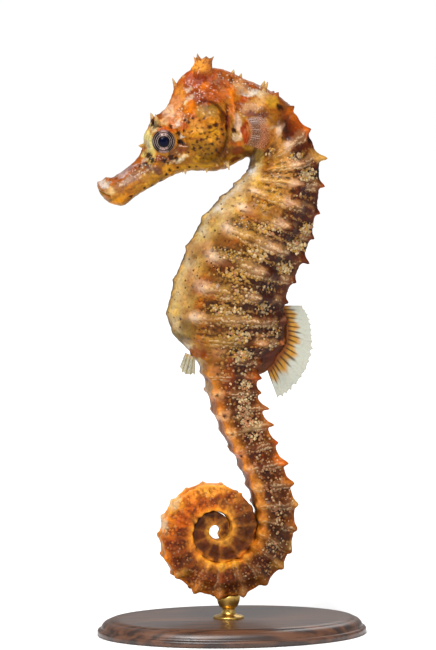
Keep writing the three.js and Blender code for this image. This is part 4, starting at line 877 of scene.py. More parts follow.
def gill_marks(colour, points):
    """Paints the gill cover: broken rows of dark dashes over its lower half, painted shade in the crease
    behind it and fine ridge lines beyond the crease, each a wave of the distance from its middle."""
    x, z = points[:, 0], points[:, 2]
    cx, cz, rx, rz = GILL_COVER
    u, v = (x - cx) / rx, (z - cz) / rz
    r = np.hypot(u, v)
    rear = step(-.35, .35, u + .2 * v)
    rows = np.sin(2 * np.pi * (z - .1 * (x - cx + 1.5) ** 2) / .98)
    broken = unevenness(points * (.8, 1, 1), .75, 16)
    dashes = step(.25, .8, rows) * step(-.1, .3, broken) * drop(.82, .95, r) * drop(.1, .5, v)
    # painted shade in the crease behind the gill cover
    crease = rear * bell(r, 1.06, .045) * (.4 + .6 * step(-.6, .2, v))
    lines = rear * hill(1.1, 1.16, 1.32, 1.5, r) * step(.1, .9, np.sin(2 * np.pi * r / .085))
    front = (1 - rear) * bell(r, 1.03, .035)
    return covered(colour, ("3C200C", .75 * dashes), ("5A2410", .75 * crease), ("7A3A18", .55 * lines),
                   ("6E4A1C", .4 * front))


def largest_patch(points, patches, soft, least):
    """At each point the largest of the patches' amounts, and no less than what is given."""
    for *place, amount in patches:
        least = np.maximum(least, amount * patch_weight(points[:, 0], points[:, 2], *place, soft))
    return least


def graininess(points, ring, column):
    """How thickly cream granules cover each point: the patches' largest amount, and a little along
    the body's mid flank and the tail's side."""
    across = off_back(column)
    amount = (.28 + .17 * step(5.5, 7, ring)) * hill(2, 4, 36, 40, ring) * hill(.9, 1.3, 2.5, 3, across)
    amount *= 1 - .6 * hill(4.5, 5.5, 9.5, 10.5, ring) * drop(2.05, 2.3, across)
    amount = largest_patch(points, GRAINY_PATCHES, .6, amount)
    return amount * hill(.25, .7, 3.1, 3.7, across) * step(.3, 1.5, ring)


def painted_glint_amount(points, ring):
    """How thickly pale flecks painted as highlights (glints) lie on the head and shoulders at each point."""
    return largest_patch(points, PAINTED_GLINT_PATCHES, .8, 0) * drop(4, 6, ring)


# ---- finishes ----
class Field:
    """A number that varies over a surface. Sums written with it add Math nodes to its finish."""

    def __init__(self, finish, socket):
        self.finish, self.socket = finish, socket

    def math(self, operation, *others):
        return self.finish.math(operation, self, *others)

    def __add__(self, other):
        return self.math("ADD", other)

    def __sub__(self, other):
        return self.math("SUBTRACT", other)

    def __mul__(self, other):
        return self.math("MULTIPLY", other)

    __radd__ = __add__

    def rise(self, low, high):
        """0 below low and 1 above high, or the other way round if high is lower, smooth between."""
        node = self.finish.node("ShaderNodeMapRange", {"interpolation_type": "SMOOTHSTEP"},
                                {"Value": self, "From Min": low, "From Max": high})
        return Field(self.finish, node.outputs[0])

    def between(self, low, high, soft):
        """1 between low and high and 0 outside, smooth over soft on both sides of each."""
        return self.rise(low - soft, low + soft) * self.rise(high + soft, high - soft)


class Finish:
    """A material with one shader and a colour built up in layers. What is the same all over is set on
    the shader's own sockets."""

    def __init__(self, name, constants):
        self.material = bpy.data.materials.new(name)
        self.material.use_nodes = True
        self.tree = self.material.node_tree
        self.tree.nodes.clear()
        self.shader = self.node("ShaderNodeBsdfPrincipled", {}, constants)
        output = self.tree.nodes.new("ShaderNodeOutputMaterial")
        self.tree.links.new(self.shader.outputs[0], output.inputs[0])
        self.place = self.node("ShaderNodeTexCoord").outputs["Object"]
        self.colour = None

    def node(self, kind, settings=None, sockets=None):
        """A node of a kind, with its settings set first, then its sockets' values or links."""
        node = self.tree.nodes.new(kind)
        for setting, value in (settings or {}).items():
            setattr(node, setting, value)
        self.fill(node, sockets or {})
        return node

    def fill(self, node, sockets):
        """Sets each socket of a node to its value, or links it to the field or socket given."""
        for key, value in sockets.items():
            value = value.socket if isinstance(value, Field) else value
            if isinstance(value, bpy.types.NodeSocket):
                self.tree.links.new(value, node.inputs[key])
            else:
                node.inputs[key].default_value = value

    def math(self, operation, *values):
        node = self.node("ShaderNodeMath", {"operation": operation}, dict(enumerate(values)))
        return Field(self, node.outputs[0])

    def mix(self, share, under, over, blend="MIX"):
        """The colour under, covered by the colour over as far as share says."""
        sockets = {0: share, 6: under, 7: over}
        return self.node("ShaderNodeMix", {"data_type": "RGBA", "blend_type": blend}, sockets).outputs[2]

    def start_painted(self):
        """Starts the colour with the tint painted on the piece's vertices."""
        self.colour = self.node("ShaderNodeAttribute", {"attribute_name": "tint"}).outputs["Color"]

    def cover(self, share, code, blend="MIX"):
        """Covers the colour so far with another as far as share says."""
        self.colour = self.mix(share, self.colour, shade(code), blend)

    def settle(self, rough, **more):
        """Gives the colour and the roughness to the shader; returns the material."""
        self.fill(self.shader, {"Base Color": self.colour, "Roughness": rough, **more})
        return self.material

    def value(self, name):
        """The piece's own value of that name at each vertex."""
        return Field(self, self.node("ShaderNodeAttribute", {"attribute_name": name}).outputs["Fac"])

    def noise(self, size, detail=3, place=None):
        """Cloudy noise with features of about that size in millimetres, 0 to 1."""
        sockets = {"Vector": place or self.place, "Scale": 1 / (size * MM), "Detail": detail}
        return Field(self, self.node("ShaderNodeTexNoise", {}, sockets).outputs[0])

    def cells(self, size, place):
        """Scattered cells that many millimetres apart: (distance from the middle, a random number)."""
        node = self.node("ShaderNodeTexVoronoi", {}, {"Vector": place, "Scale": 1 / (size * MM)})
        chance = self.node("ShaderNodeSeparateColor", {}, {0: node.outputs["Color"]}).outputs[0]
        return Field(self, node.outputs["Distance"]), Field(self, chance)

    def warped(self, reach, size):
        """Object coordinates pushed about by cloudy noise, up to reach millimetres either way."""
        sockets = {"Vector": self.place, "Scale": 1 / (size * MM), "Detail": 2}
        cloud = self.node("ShaderNodeTexNoise", {}, sockets).outputs["Color"]
        push = self.node("ShaderNodeVectorMath", {"operation": "SUBTRACT"}, {0: cloud, 1: (.5, .5, .5)})
        sockets = {0: push.outputs[0], 1: (2 * reach * MM,) * 3, 2: self.place}
        return self.node("ShaderNodeVectorMath", {"operation": "MULTIPLY_ADD"}, sockets).outputs[0]

    def stretched(self, x, y, z):
        """Object coordinates drawn out along each axis by that much."""
        scale = (1 / x, 1 / y, 1 / z)
        return self.node("ShaderNodeMapping", {}, {"Vector": self.place, "Scale": scale}).outputs[0]

    def bump(self, height, depth, strength):
        """Relief of that depth in millimetres, from a height of 0 to 1, on the shader's normal."""
        sockets = {"Height": height, "Distance": depth * MM, "Strength": strength}
        self.fill(self.shader, {"Normal": self.node("ShaderNodeBump", {}, sockets).outputs[0]})


def shade(code):
    """A colour's hex code as a socket's four values."""
    return (*rgb(code), 1)


def skin_finish():
    """Wet skin: the painted tint, mottled; a smooth band with fine pale lines along each rib; knobs with
    dark gaps and spots between the ribs; dark specks on the belly; painted highlight flecks on the head."""
    finish = Finish("seahorse_skin", {"IOR": 1.38, "Specular IOR Level": .1, "Coat Weight": .13,
                                      "Coat Roughness": .14, "Subsurface Weight": .1,
                                      "Subsurface Radius": (1, .3, .1), "Subsurface Scale": .6 * MM})
    ring, across = finish.value("ring"), finish.value("across")
    warped = finish.warped(.25, .7)
    fine, broad, clouds = finish.noise(.45, 4), finish.noise(1.3, 3), finish.noise(3.2, 4)
    finish.start_painted()
    finish.cover(clouds.rise(.52, .36) * .5, "A46C40", "MULTIPLY")
    finish.cover(fine.rise(.5, .34) * .35, "8A5C38", "MULTIPLY")
    finish.cover(broad.rise(.5, .66) * .45, "FFE8B8", "SOFT_LIGHT")
    from_rib = ring - ring.math("ROUND") + ((broad - .5) * .34 + (fine - .5) * .1)
    off_rib = from_rib.math("ABSOLUTE")
    # knobs and the dark gaps round them
    far, chance = finish.cells(.66, warped)
    grain = (finish.value("grain") * 1.6).math("MINIMUM", 1)
    knobbed = grain * off_rib.rise(.06, .22) * (broad.rise(.32, .6) * .7 + .3)
    finish.cover(far.rise(.3, .52) * knobbed * .85, "4E2A12", "MULTIPLY")
    knobs = far.rise(.46, .2) * chance.rise(.25, .5) * knobbed
    finish.cover(knobs * .5, "AC8040")
    # rows of dark dashes along the trunk's flank, with pale ones between
    row = (ring * 18.85 + (broad - .5) * 5 + (fine - .5) * 3).math("SINE")
    dashed_zone = (ring.between(2.6, 11.5, .6) * across.between(1.25, 3.15, .2) * clouds.rise(.36, .5)
                   * off_rib.rise(.08, .16))
    dashes = row.rise(-.1, .55) * finish.noise(.75, 2).rise(.44, .54) * dashed_zone
    finish.cover(dashes * .8, "2E160A")
    between = (row * -1).rise(0, .8) * dashed_zone * finish.noise(.5, 2).rise(.42, .56)
    finish.cover(between * .45, "BC8C48")
    # dark spots among the knobs
    far, chance = finish.cells(.85, finish.warped(.2, .5))
    finish.cover(far.rise(.36, .22) * chance.rise(.5, .62) * knobbed * .85, "26120A")
    # the band on each rib and the lines along it
    flank = across.between(1.2, 2.95, .15) * ring.between(1.6, 27, .8)
    band = finish.mix(across.rise(2.2, 2.8), shade("B08050"), shade("BC9040"))
    share = off_rib.rise(.3, .16) * flank * clouds.rise(.38, .6) * (ring.rise(13, 10.5) * .25 + .15)
    finish.colour = finish.mix(share, finish.colour, band)
    lines = off_rib.rise(.07, .02) + (from_rib - .2).math("ABSOLUTE").rise(.06, .02)
    lines = lines * flank * clouds.rise(.42, .56) * fine.rise(.38, .55)
    finish.cover(lines * (ring.rise(24, 16) * .3 + .2), "DCBC90")
    # specks on the belly; pale flecks on the head, which are painted highlights (glints)
    far, chance = finish.cells(1.0, warped)
    finish.cover(far.rise(.22, .13) * chance.rise(.38, .46) * finish.value("specked") * .85, "2A140A")
    far, chance = finish.cells(.42, warped)
    # pale flecks painted as highlights (glints)
    painted_glints = far.rise(.46, .2) * chance.rise(.3, .5) * finish.value("painted_glints")
    finish.cover(painted_glints * .65, "E4D4BC")
    height = fine * .35 + finish.noise(.2, 2) * .22 + knobs * .6 + lines * .3 + broad * .5
    finish.bump(height + painted_glints * .4 + between * .5 - dashes * .5, .25, .9)
    return finish.settle(.3 + fine * .25)


def trim_finish(name, wet, rough):
    """Painted skin on a small piece: its tint with fine mottling and a pitted surface."""
    finish = Finish(name, {"IOR": 1.38, "Specular IOR Level": .1, "Coat Weight": wet, "Coat Roughness": .08,
                           "Subsurface Weight": .1, "Subsurface Radius": (1, .35, .12),
                           "Subsurface Scale": .5 * MM})
    fine = finish.noise(.3, 3)
    finish.start_painted()
    finish.cover(fine.rise(.56, .36) * .5, "906848", "MULTIPLY")
    finish.bump(fine, .1, .6)
    return finish.settle(rough + fine * .2)


def eye_finish():
    """A blue-black pupil in a dark brown iris, silver-pink above and below, with pale rings beside it."""
    finish = Finish("seahorse_eye", {"IOR": 1.4, "Specular IOR Level": .05, "Coat Weight": .1,
                                     "Coat Roughness": .04})
    out, turn = finish.value("out"), finish.value("turn")
    streaks = finish.noise(.22, 3)
    finish.colour = finish.mix(streaks.rise(.35, .65) * .8, shade("080404"), shade("24140E"))
    upright, sideways = turn.math("SINE").math("ABSOLUTE"), turn.math("COSINE").math("ABSOLUTE")
    finish.cover(upright.rise(.74, .97) * out.between(1.0, 1.45, .14) * streaks.rise(.3, .6) * .8, "C8A8A0")
    rings = out.between(1.04, 1.09, .03) + out.between(1.31, 1.36, .03)
    finish.cover(rings * sideways.rise(.4, .8) * .65, "CCB8B0")
    finish.cover(out.rise(.8, .74), "01051C")
    return finish.settle(.25)


def fin_finish():
    """Thin film between rays: its tint, a little mottled, covering as much as the piece's cover says."""
    finish = Finish("seahorse_fin", {"IOR": 1.4, "Specular IOR Level": .2, "Coat Weight": .1,
                                     "Coat Roughness": .15, "Subsurface Weight": .1,
                                     "Subsurface Scale": .5 * MM})
    fine = finish.noise(.35, 3)
    finish.start_painted()
    finish.cover(fine.rise(.55, .35) * .15, "B0A890", "MULTIPLY")
    finish.bump(fine, .05, .5)
    return finish.settle(.32 + fine * .2, Alpha=finish.value("cover"))


def wood_finish():
    """Dark stained wood with a satin lacquer: growth lines drawn out along the base, and fine pores."""
    finish = Finish("stand_wood", {"Coat Weight": .3, "Coat Roughness": .25, "IOR": 1.5})
    long_grain = finish.noise(1.3, 5, finish.stretched(14, 1, 1))
    pores = finish.noise(.35, 2, finish.stretched(20, 1, 1))
    finish.colour = finish.mix(long_grain.rise(.35, .65), shade("2A170E"), shade("5C3822"))
    finish.cover(pores.rise(.62, .72) * .6, "160B06")
    finish.bump(pores.rise(.7, .6) * .6 + long_grain * .4, .05, .6)
    return finish.settle(.34 + long_grain * .18)


def brass_finish():
    """Brushed brass, a little darker where it has tarnished."""
    finish = Finish("stand_brass", {"Metallic": 1.0})
    brushed = finish.noise(.3, 3, finish.stretched(1, 1, .08))
    tarnish = finish.noise(1.6, 3)
    finish.colour = finish.mix(tarnish.rise(.4, .7) * .6, shade("D4AC5C"), shade("8E6A30"))
    finish.bump(brushed, .02, .5)
    return finish.settle(.2 + brushed * .25)


def floor_finish():
    """Pale matt paint, a very little clouded."""
    finish = Finish("pale_floor", {})
    finish.colour = finish.mix(finish.noise(60, 2) * .05, (.97, .97, .97, 1), (.93, .93, .93, 1))
    return finish.settle(.7)


# ---- the skin and its granules ----
FLESH_NODES = ["snout", "head", "neck", "trunk_upper", "trunk_lower", "tail_root", "tail_upper",
               "tail_bend", "tail_coil_bottom", "tail_coil_front", "tail_coil_top", "tail_inner_back",
               "tail_inner_bottom", "tail_tip"]
GRANULE_COUNT = 3300

coarse_row = np.searchsorted(spans(ROWS), COARSE_FROM) + DOME_ROWS
skin_ring, skin_place = domed_ends(*skin_surface())
ring_field = np.repeat(skin_ring[:, None], AROUND, 1)
column_field = np.repeat(around[None], len(skin_ring), 0)
next_column, next_row = np.roll(skin_place, -1, 1), np.gradient(skin_place, axis=0)
normal_field = unit(np.cross(next_column - np.roll(skin_place, 1, 1), next_row))
cell_area = np.linalg.norm(np.cross(next_column - skin_place, next_row), axis=-1)


def as_list(values):
    """A grid's values, row after row."""
    return values.reshape((-1,) + values.shape[2:])


def both_parts(values):
    """The values of the closely spaced rows, then those of the thinned ones, as one list."""
    return np.concatenate([as_list(values[:coarse_row]), as_list(thin_out(values[coarse_row:]))])


def specked(ring, column):
    """How thickly dark specks lie: on the belly, and thinner on the flank's lower edge."""
    across = off_back(column)
    belly = step(2.7, 3.1, across) * hill(2, 4, 12, 13.5, ring)
    return np.clip(belly + .5 * hill(1.5, 2, 8, 11, ring) * step(1.6, 2.4, across), 0, 1)


def beyond(last, before):
    """A point past the middle of a row of points, by a fifth of the step from the row before it."""
    return last.mean(0) + (last.mean(0) - before.mean(0)) * .2


def make_skin():
    """One closed surface from the lips to the tip of the tail, each end drawn to a point."""
    tips = [beyond(skin_place[0], skin_place[1]), beyond(skin_place[-1], skin_place[-2])]
    points = np.concatenate([both_parts(skin_place), tips])
    ring = np.append(both_parts(ring_field), [-19, 49])
    across = np.append(both_parts(off_back(column_field)), [2, 2])
    lips, tail_tip = len(points) - 2, len(points) - 1
    first_coarse = coarse_row * AROUND
    faces = [grid_faces(coarse_row, AROUND, True),
             joining_faces(first_coarse - AROUND, first_coarse),
             grid_faces(len(skin_ring) - coarse_row, COARSE, True) + first_coarse,
             fan_faces(np.arange(AROUND), lips, turned=True),
             fan_faces(np.arange(COARSE) + lips - COARSE, tail_tip)]
    # one field holds how thickly pale flecks painted as highlights (glints) lie
    fields = {"ring": ring, "across": across, "grain": graininess(points, ring, across),
              "specked": specked(ring, across), "painted_glints": painted_glint_amount(points, ring)}
    tint = paint(points, ring, across)
    make_piece("skin", points, faces, skin_finish(), FLESH_NODES, fields, tint)


def granule_form():
    """A low dome of six sides: a point below, a foot ring, a shoulder ring and a point above."""
    angle = round_turns(6)
    circle = np.stack([np.cos(angle), np.sin(angle), 0 * angle], 1)
    points = np.concatenate([[(0, 0, -.5)], circle, circle * .72 + (0, 0, .5), [(0, 0, .8)]])
    faces = np.concatenate([fan_faces(np.arange(1, 7), 0, turned=True),
                            [(1 + i, 1 + (i + 1) % 6, 7 + (i + 1) % 6) for i in range(6)],
                            [(1 + i, 7 + (i + 1) % 6, 7 + i) for i in range(6)],
                            fan_faces(np.arange(7, 13), 13)])
    return points, faces


def make_granules():
    """Granules set on the skin: places drawn by how grainy the skin is, in rows along the ribs, each a
    dome of its own size turned to the skin's normal, and cream, gold or peach mixed with its paint."""
    rng = np.random.default_rng(7)
    count = GRANULE_COUNT
    points, normal, area, ring, column = (
        as_list(values) for values in (skin_place, normal_field, cell_area, ring_field, column_field))
    grain = graininess(points, ring, column)
    rowed = .35 + .65 * np.cos(2 * np.pi * (ring * 5.5 + .25 * unevenness(points, 3, 31))) ** 2
    off_rib = .45 + .55 * step(.06, .16, np.abs(ring - np.round(ring)))
    chance = area * grain ** 2.6 * rowed * off_rib * (1 - .6 * step(21, 26, ring))
    at = rng.choice(len(points), count, p=chance / chance.sum(), replace=False)
    points, ring, column, grain, normal = (values[at] for values in (points, ring, column, grain, normal))
    size = rng.uniform(.15, .34, count) * (.7 + .45 * grain) * np.where(ring > 13, .8, 1)
    side = unit(np.cross(normal, rng.normal(size=(count, 3))))
    over = np.cross(normal, side)
    stretch = rng.uniform(.8, 1.35, count)[:, None]
    form, faces = granule_form()
    axes = np.stack([side * stretch, over, normal * .8], 1) * size[:, None, None]
    place = points[:, None] + form @ axes
    faces = faces + np.arange(count)[:, None, None] * len(form)
    pick = rng.random(count)
    tail, coiled = step(11, 15, ring), step(20, 28, ring)
    warm = blend(rgb("D8A44C"), rgb("D49468"), np.where(pick < .85, tail, 1))
    creamy = pick < .25 + .3 * (off_back(column) < 2.3)
    coat = np.where(creamy[:, None], rgb("ECCC98"), warm)
    coat *= ((.5 + .4 * rng.random(count)) * (1 - .35 * coiled))[:, None]
    share = (.25 + .33 * grain + .28 * rng.random(count)) * (1 - .5 * coiled)
    tint = np.repeat(blend(paint(points, ring, column), coat, share), len(form), 0)
    make_piece("granules", place.reshape(-1, 3), [faces.reshape(-1, 3)],
               trim_finish("granule_skin", .15, .3), tint=tint)


# ---- eyes ----
EYE_OUT = 2.35  # the eyeball's middle, from the median plane
EYE_RADIUS = 1.9
EYE_AXIS = (-.1, 1, .02)
EYE_COLUMNS, LID_COLUMNS = 48, 72
# the lid's closed section: radius, distance from the median plane
LID_PROFILE = [(2.5, 2.3), (2.52, 2.75), (2.42, 2.95), (2.31, 3.05), (2.2, 3.13), (2.07, 3.1),
               (1.97, 3.2), (1.87, 3.27), (1.79, 3.24), (1.7, 3.34), (1.63, 3.4), (1.57, 3.38),
               (1.53, 3.32), (1.51, 3.1), (1.55, 2.3)]
LID_RINGS = ((1.66, 1), (1.93, .9), (2.2, .6))  # the lid's pale rings: radius, strength


def make_eye(side, name):
    """An eyeball turned about an axis through the head, its clear front standing out a little over the
    pupil, in a lid of fine folds."""
    axis = unit(np.array(EYE_AXIS) * (1, side, 1))
    middle = np.array((EYE_CENTRE[0], side * EYE_OUT, EYE_CENTRE[1]))
    lean = np.linspace(150, 4, 34)
    front = lean < 90
    out = EYE_RADIUS * np.sin(np.radians(lean))
    high = EYE_RADIUS * np.cos(np.radians(lean)) + .14 * drop(.55, 1.15, out) * front
    points, faces = closed_form(turned_form(np.stack([out, high], 1), middle, axis, EYE_COLUMNS))
    points[-1] = middle + axis * (high[-1] + .002)
    fields = {"out": np.append(np.repeat(np.where(front, out, 3), EYE_COLUMNS), [3, 0]),
              "turn": np.append(np.tile(round_turns(EYE_COLUMNS), len(lean)), [0, 0])}
    make_piece("eyeball_" + name, points, faces, eye_material, ["eye_" + name], fields)
    make_lid(name, middle, axis)


def make_lid(name, middle, axis):
    """A lid whose section is a closed line of folds, turned about the eye's axis. It is dark inside,
    pinkish above and below with pale rings at its sides, and turns to the skin's paint at its edge."""
    lid = smooth_closed(LID_PROFILE, 3) - (0, EYE_OUT)
    points = turned_form(lid, middle, axis, LID_COLUMNS).reshape(-1, 3)
    count = len(points)
    here = np.arange(LID_COLUMNS)
    after = (here + 1) % LID_COLUMNS
    last = count - LID_COLUMNS
    faces = [grid_faces(len(lid), LID_COLUMNS, True), np.stack([here + last, after + last, after, here], 1)]
    far = np.repeat(lid[:, 0], LID_COLUMNS)
    turn = np.tile(round_turns(LID_COLUMNS), len(lid))
    sideways, upright = np.abs(np.cos(turn)), np.abs(np.sin(turn))
    rings = sum(share * bell(far, at, .045) for at, share in LID_RINGS)
    colour = covered(rgb("060303"), ("24140E", step(1.7, 2.1, far)),
                     ("B08C84", step(.86, .98, upright) * (.65 - .35 * step(1.75, 2.0, far))),
                     ("B8A098", rings * (.1 + .9 * sideways ** 4) * .75))
    colour = blend(colour, paint_near(points, -11, 2), step(1.8, 2.14, far))
    make_piece("eyelid_" + name, points, faces, trim_material, tint=np.clip(colour, 0, 1))


def smooth_closed(profile, parts):
    """A closed line of points, each stretch cut into parts on a curve through them (Catmull-Rom)."""
    p = np.array(profile, float)
    t = (np.arange(parts) / parts)[:, None]
    a, b, c, d = (np.roll(p, k, 0)[:, None] for k in (1, 0, -1, -2))
    curve = 2 * b + (c - a) * t + (2 * a - 5 * b + 4 * c - d) * t ** 2 + (3 * b - a - 3 * c + d) * t ** 3
    return curve.reshape(-1, 2) / 2


# ---- crown and spines ----
CROWN_FOOT = np.array((-5.0, 0, 95.2))
CROWN_LEAN = 4  # degrees back
CROWN_HEIGHT = 2.6
CROWN_LEVELS = [(-1.5, 2.2, 1.2), (-.9, 2.6, 1.6), (-.3, 2.5, 1.7), (.4, 2.1, 1.5), (1.1, 1.7, 1.15),
                (1.7, 1.45, 1), (2.2, 1.45, 1.12), (2.6, 1.55, 1.25)]  # height, half length, half width
# its points, as turn and height, and its cup, as depth, share of the brim's size, share of the points
CROWN_POINTS = [(305, .85), (350, .25), (35, .45), (100, .35), (165, .5), (200, .5), (250, .35)]
CROWN_CUP = [(.12, .86, .8), (.45, .66, .3), (.62, .4, .05), (.66, .15, 0)]
HEAD_SPINES = [  # base, tip, radius at the base; each off the middle plane has its twin
    ((-15, 0, 83.2), (-16, 0, 83.3), .65), ((-9.4, 0, 92.6), (-10.2, 0, 94.6), .6),
    ((-12.9, 1.7, 86.3), (-13.5, 2.4, 88.7), .9), ((-1.6, 1.5, 82), (-.95, 2.6, 79.2), .85),
    ((-4.6, 1.1, 81), (-4.6, 1.6, 78.7), .8), ((-8.2, .9, 80.6), (-8.2, 1.3, 78.45), .75),
    ((5, 1.2, 92), (5.9, 1.4, 93.9), .75), ((0, 0, 94.9), (.3, 0, 95.95), .6),
    ((1.3, 0, 94.3), (1.6, 0, 95.3), .5),
]
SPINE_COLUMNS = 12
SPINE_ASIDE = (0, 1, .01)  # a spine's columns are counted from this direction


def crown_rings(up, ahead):
    """Ovals stacked from the crown's foot to its brim, which is drawn up and out into points, each a
    narrow bell of the turn, and then down into a shallow cup; all fluted, and a little uneven."""
    turn = round_turns(72)
    star = sum(high * bell((turn - math.radians(at) + np.pi) % (2 * np.pi), np.pi, .27)
               for at, high in CROWN_POINTS)
    height, long, wide = smooth_line(CROWN_LEVELS, 3 * len(CROWN_LEVELS) - 2).T
    depth, size, pointed = np.array(CROWN_CUP).T
    points = np.append(np.clip(height / CROWN_HEIGHT, 0, 1) ** 3, pointed)[:, None] * star
    height = np.append(height, CROWN_HEIGHT - depth)[:, None]
    flute = 1 + .09 * np.cos(5 * turn + .6) * step(-.5, 1, height)
    long = np.append(long, long[-1] * size)[:, None] * flute + .3 * points
    wide = np.append(wide, wide[-1] * size)[:, None] * flute + .3 * points
    rings = (CROWN_FOOT + (height + points)[..., None] * up + (long * np.cos(turn))[..., None] * ahead
             + (wide * np.sin(turn))[..., None] * np.array([0, -1.0, 0]))
    uneven = .13 * unevenness(rings, 1.2, 21) + .07 * unevenness(rings, .55, 22)
    return rings + unit(rings - CROWN_FOOT) * uneven[..., None]


def make_crown():
    """The crown: brown, with gold low on its front, a pale brim and dark blotches; its foot takes the
    skin's paint."""
    lean = math.radians(CROWN_LEAN)
    up = np.array((math.sin(lean), 0, math.cos(lean)))
    ahead = np.array((-up[2], 0, up[0]))
    points, faces = closed_form(crown_rings(up, ahead))
    rise, front = (points - CROWN_FOOT) @ up, (points - CROWN_FOOT) @ ahead
    colour = covered(rgb("8C4818"), ("D88C30", hill(.2, 1.2, 2.4, 3.0, rise) * step(-1.4, .4, front)),
                     ("B08C60", .8 * step(2.5, 3.2, rise)),
                     ("6C3814", .8 * step(.35, .9, unevenness(points, .9, 23)) * (rise > .2)))
    colour = blend(colour, paint_near(points, -6, .5), drop(-.4, .6, rise))
    make_piece("crown", points, faces, trim_material, ["coronet"], tint=np.clip(colour, 0, 1))


def spine(base, tip, radius):
    """A blunt cone with a flared foot sunk in the skin: radius (1 - t)^.75 of its base's, plus a flare,
    on a line that bends a little as t squared. Returns points, faces and colours."""
    t = np.linspace(-.35, 1, 12)
    line = np.array(tip) - base
    length = np.linalg.norm(line)
    left, past = np.clip(1 - t, 0, 2), np.clip(t, 0, 1)
    width = radius * (.72 * left ** .75 + .28 * left ** 4) + .05
    rings = turned_form(np.stack([width, t * length], 1), base, line, SPINE_COLUMNS, SPINE_ASIDE)
    bend = frame_about(line, SPINE_ASIDE)[1] * .1 * length
    points, faces = closed_form(rings + bend * (past ** 2 - .5 * past)[:, None, None])
    share = np.append(np.repeat(step(.1, .8, t), SPINE_COLUMNS), [0, 1])
    return points, faces, covered(paint_near(points, -6, 2), ("C8AC70", .55 * share))


def make_spines():
    """The spines of the head and the neck, as one piece."""
    every, faces, colours, count = [], [], [], 0
    for base, tip, radius in HEAD_SPINES:
        for side in ((1, -1) if base[1] else (1,)):
            place = (1, side, 1)
            points, parts, colour = spine(np.array(base) * place, np.array(tip) * place, radius)
            every.append(points)
            colours.append(colour)
            faces += [part + count for part in parts]
            count += len(points)
    tint = np.clip(np.concatenate(colours), 0, 1)
    make_piece("spines", np.concatenate(every), faces, trim_material, tint=tint)


# ---- fins ----
FIN_STEPS, FIN_ROWS = 7, 26  # columns to a ray, and rows from the feet to the tips
FIN_SINK = .45  # how deep the back fin's feet stand in the skin
BACK_FIN_RINGS = (9.3, 12.6)
BACK_FIN_RAYS, VENT_FIN_RAYS, SIDE_FIN_RAYS = 18, 5, 15
# the back fin's length from front to rear, and the angle of its rays from the rib's own direction
BACK_FIN_SHAPE = [(3.6, 8), (4.3, -2), (4.75, -12), (5.3, -28), (5.95, -50), (5.35, -66)]


def fin_sheet(name, node, feet, tips, rays, thick, wave, notch, coat, seed):
    """A closed thin sheet from a line of feet to a line of tips: straight along each ray, a cubic
    through the rays between them. It is thicker at each ray as |cos| to the eighth power, its margin is
    notched between rays and ragged, and it waves a little as the tips are neared."""
    columns = rays * FIN_STEPS
    ray = np.repeat(np.linspace(0, rays - 1, columns)[:, None], FIN_ROWS, 1)
    r = np.repeat(np.linspace(0, 1, FIN_ROWS)[None], columns, 0)
    foot, tip = smooth_line(feet, columns)[:, None], smooth_line(tips, columns)[:, None]
    on_ray = np.abs(np.cos(np.pi * ray)) ** 8
    tears = np.arange(0, columns + 3, 3)
    ragged = np.interp(np.arange(columns), tears, np.random.default_rng(seed).random(len(tears)))
    length = 1 - notch * (1 - on_ray[:, :1]) - notch * ragged[:, None]
    sheet = foot + (tip - foot) * (r * length)[..., None]
    normal = unit(np.cross(np.gradient(sheet, axis=0), np.gradient(sheet, axis=1)))
    sheet = sheet + normal * (wave * r ** 1.5 * np.sin(ray * 1.1 + 2 * r))[..., None]
    half = (thick * (.35 + .65 * on_ray * (1 - .6 * r)) * (1 - .5 * step(.85, 1, r)))[..., None]
    points = np.stack([sheet + normal * half, sheet - normal * half]).reshape(-1, 3)
    number = np.arange(columns * FIN_ROWS).reshape(columns, FIN_ROWS)
    edge = np.concatenate([number[:, 0], number[-1, 1:], number[-2::-1, -1], number[0, -2:0:-1]])
    following = np.roll(edge, -1)
    quads = grid_faces(columns, FIN_ROWS)
    rim = np.stack([following, edge, edge + number.size, following + number.size], 1)
    faces = [quads[:, ::-1], quads + number.size, rim]
    colour, cover = coat(ray, r, on_ray, sheet)
    tint = np.clip(np.tile(colour.reshape(-1, 3), (2, 1)), 0, 1)
    make_piece(name, points, faces, fin_material, [node], {"cover": np.tile(cover.ravel(), 2)}, tint)


def make_back_fin():
    """Rays fanned out from the fleshy root along the back, gold near the root with dark stripes."""
    ring = np.linspace(*BACK_FIN_RINGS, BACK_FIN_RAYS)
    middle, half, up = rib_frame(ring)[:3]
    corner = np.interp(ring, section_rings, section_corners[:, 0, 1])
    root = smooth_curve(list(BACK_FIN_ROOT), list(BACK_FIN_ROOT.values()))(ring)
    foot = middle + up * (corner * half + root)[:, None]
    reach, lean = smooth_line(BACK_FIN_SHAPE, BACK_FIN_RAYS).T
    c, s = np.cos(np.radians(lean)), np.sin(np.radians(lean))
    way = np.stack([up[:, 0] * c - up[:, 2] * s, 0 * lean, up[:, 0] * s + up[:, 2] * c], 1)

    def coat(ray, r, on_ray, sheet):
        stripes = step(.2, .5, on_ray) * step(.1, .16, r) * drop(.38, .6, r + .1 * np.sin(ray * 5))
        streaks = step(.25, .7, unevenness(sheet, .7, 41)) * hill(.3, .4, .5, .75, r)
        colour = covered(
            rgb("B2B4A6"), ("9C9C88", on_ray * .35),
            ("B8842C", drop(.36, .6, r + .08 * np.sin(ray * 2.3))), ("8A4A0C", drop(.15, .3, r)),
            ("34200C", stripes * .85), ("5A4A30", streaks * on_ray * (.35 + .5 * step(13.5, 16.5, ray))))
        return colour, .97 - .14 * step(.35, .8, r) * (1 - on_ray)

    tip = foot + way * reach[:, None]
    fin_sheet("back_fin_film", "back_fin", foot - way * FIN_SINK, tip, BACK_FIN_RAYS, .15, .12, .05, coat, 3)


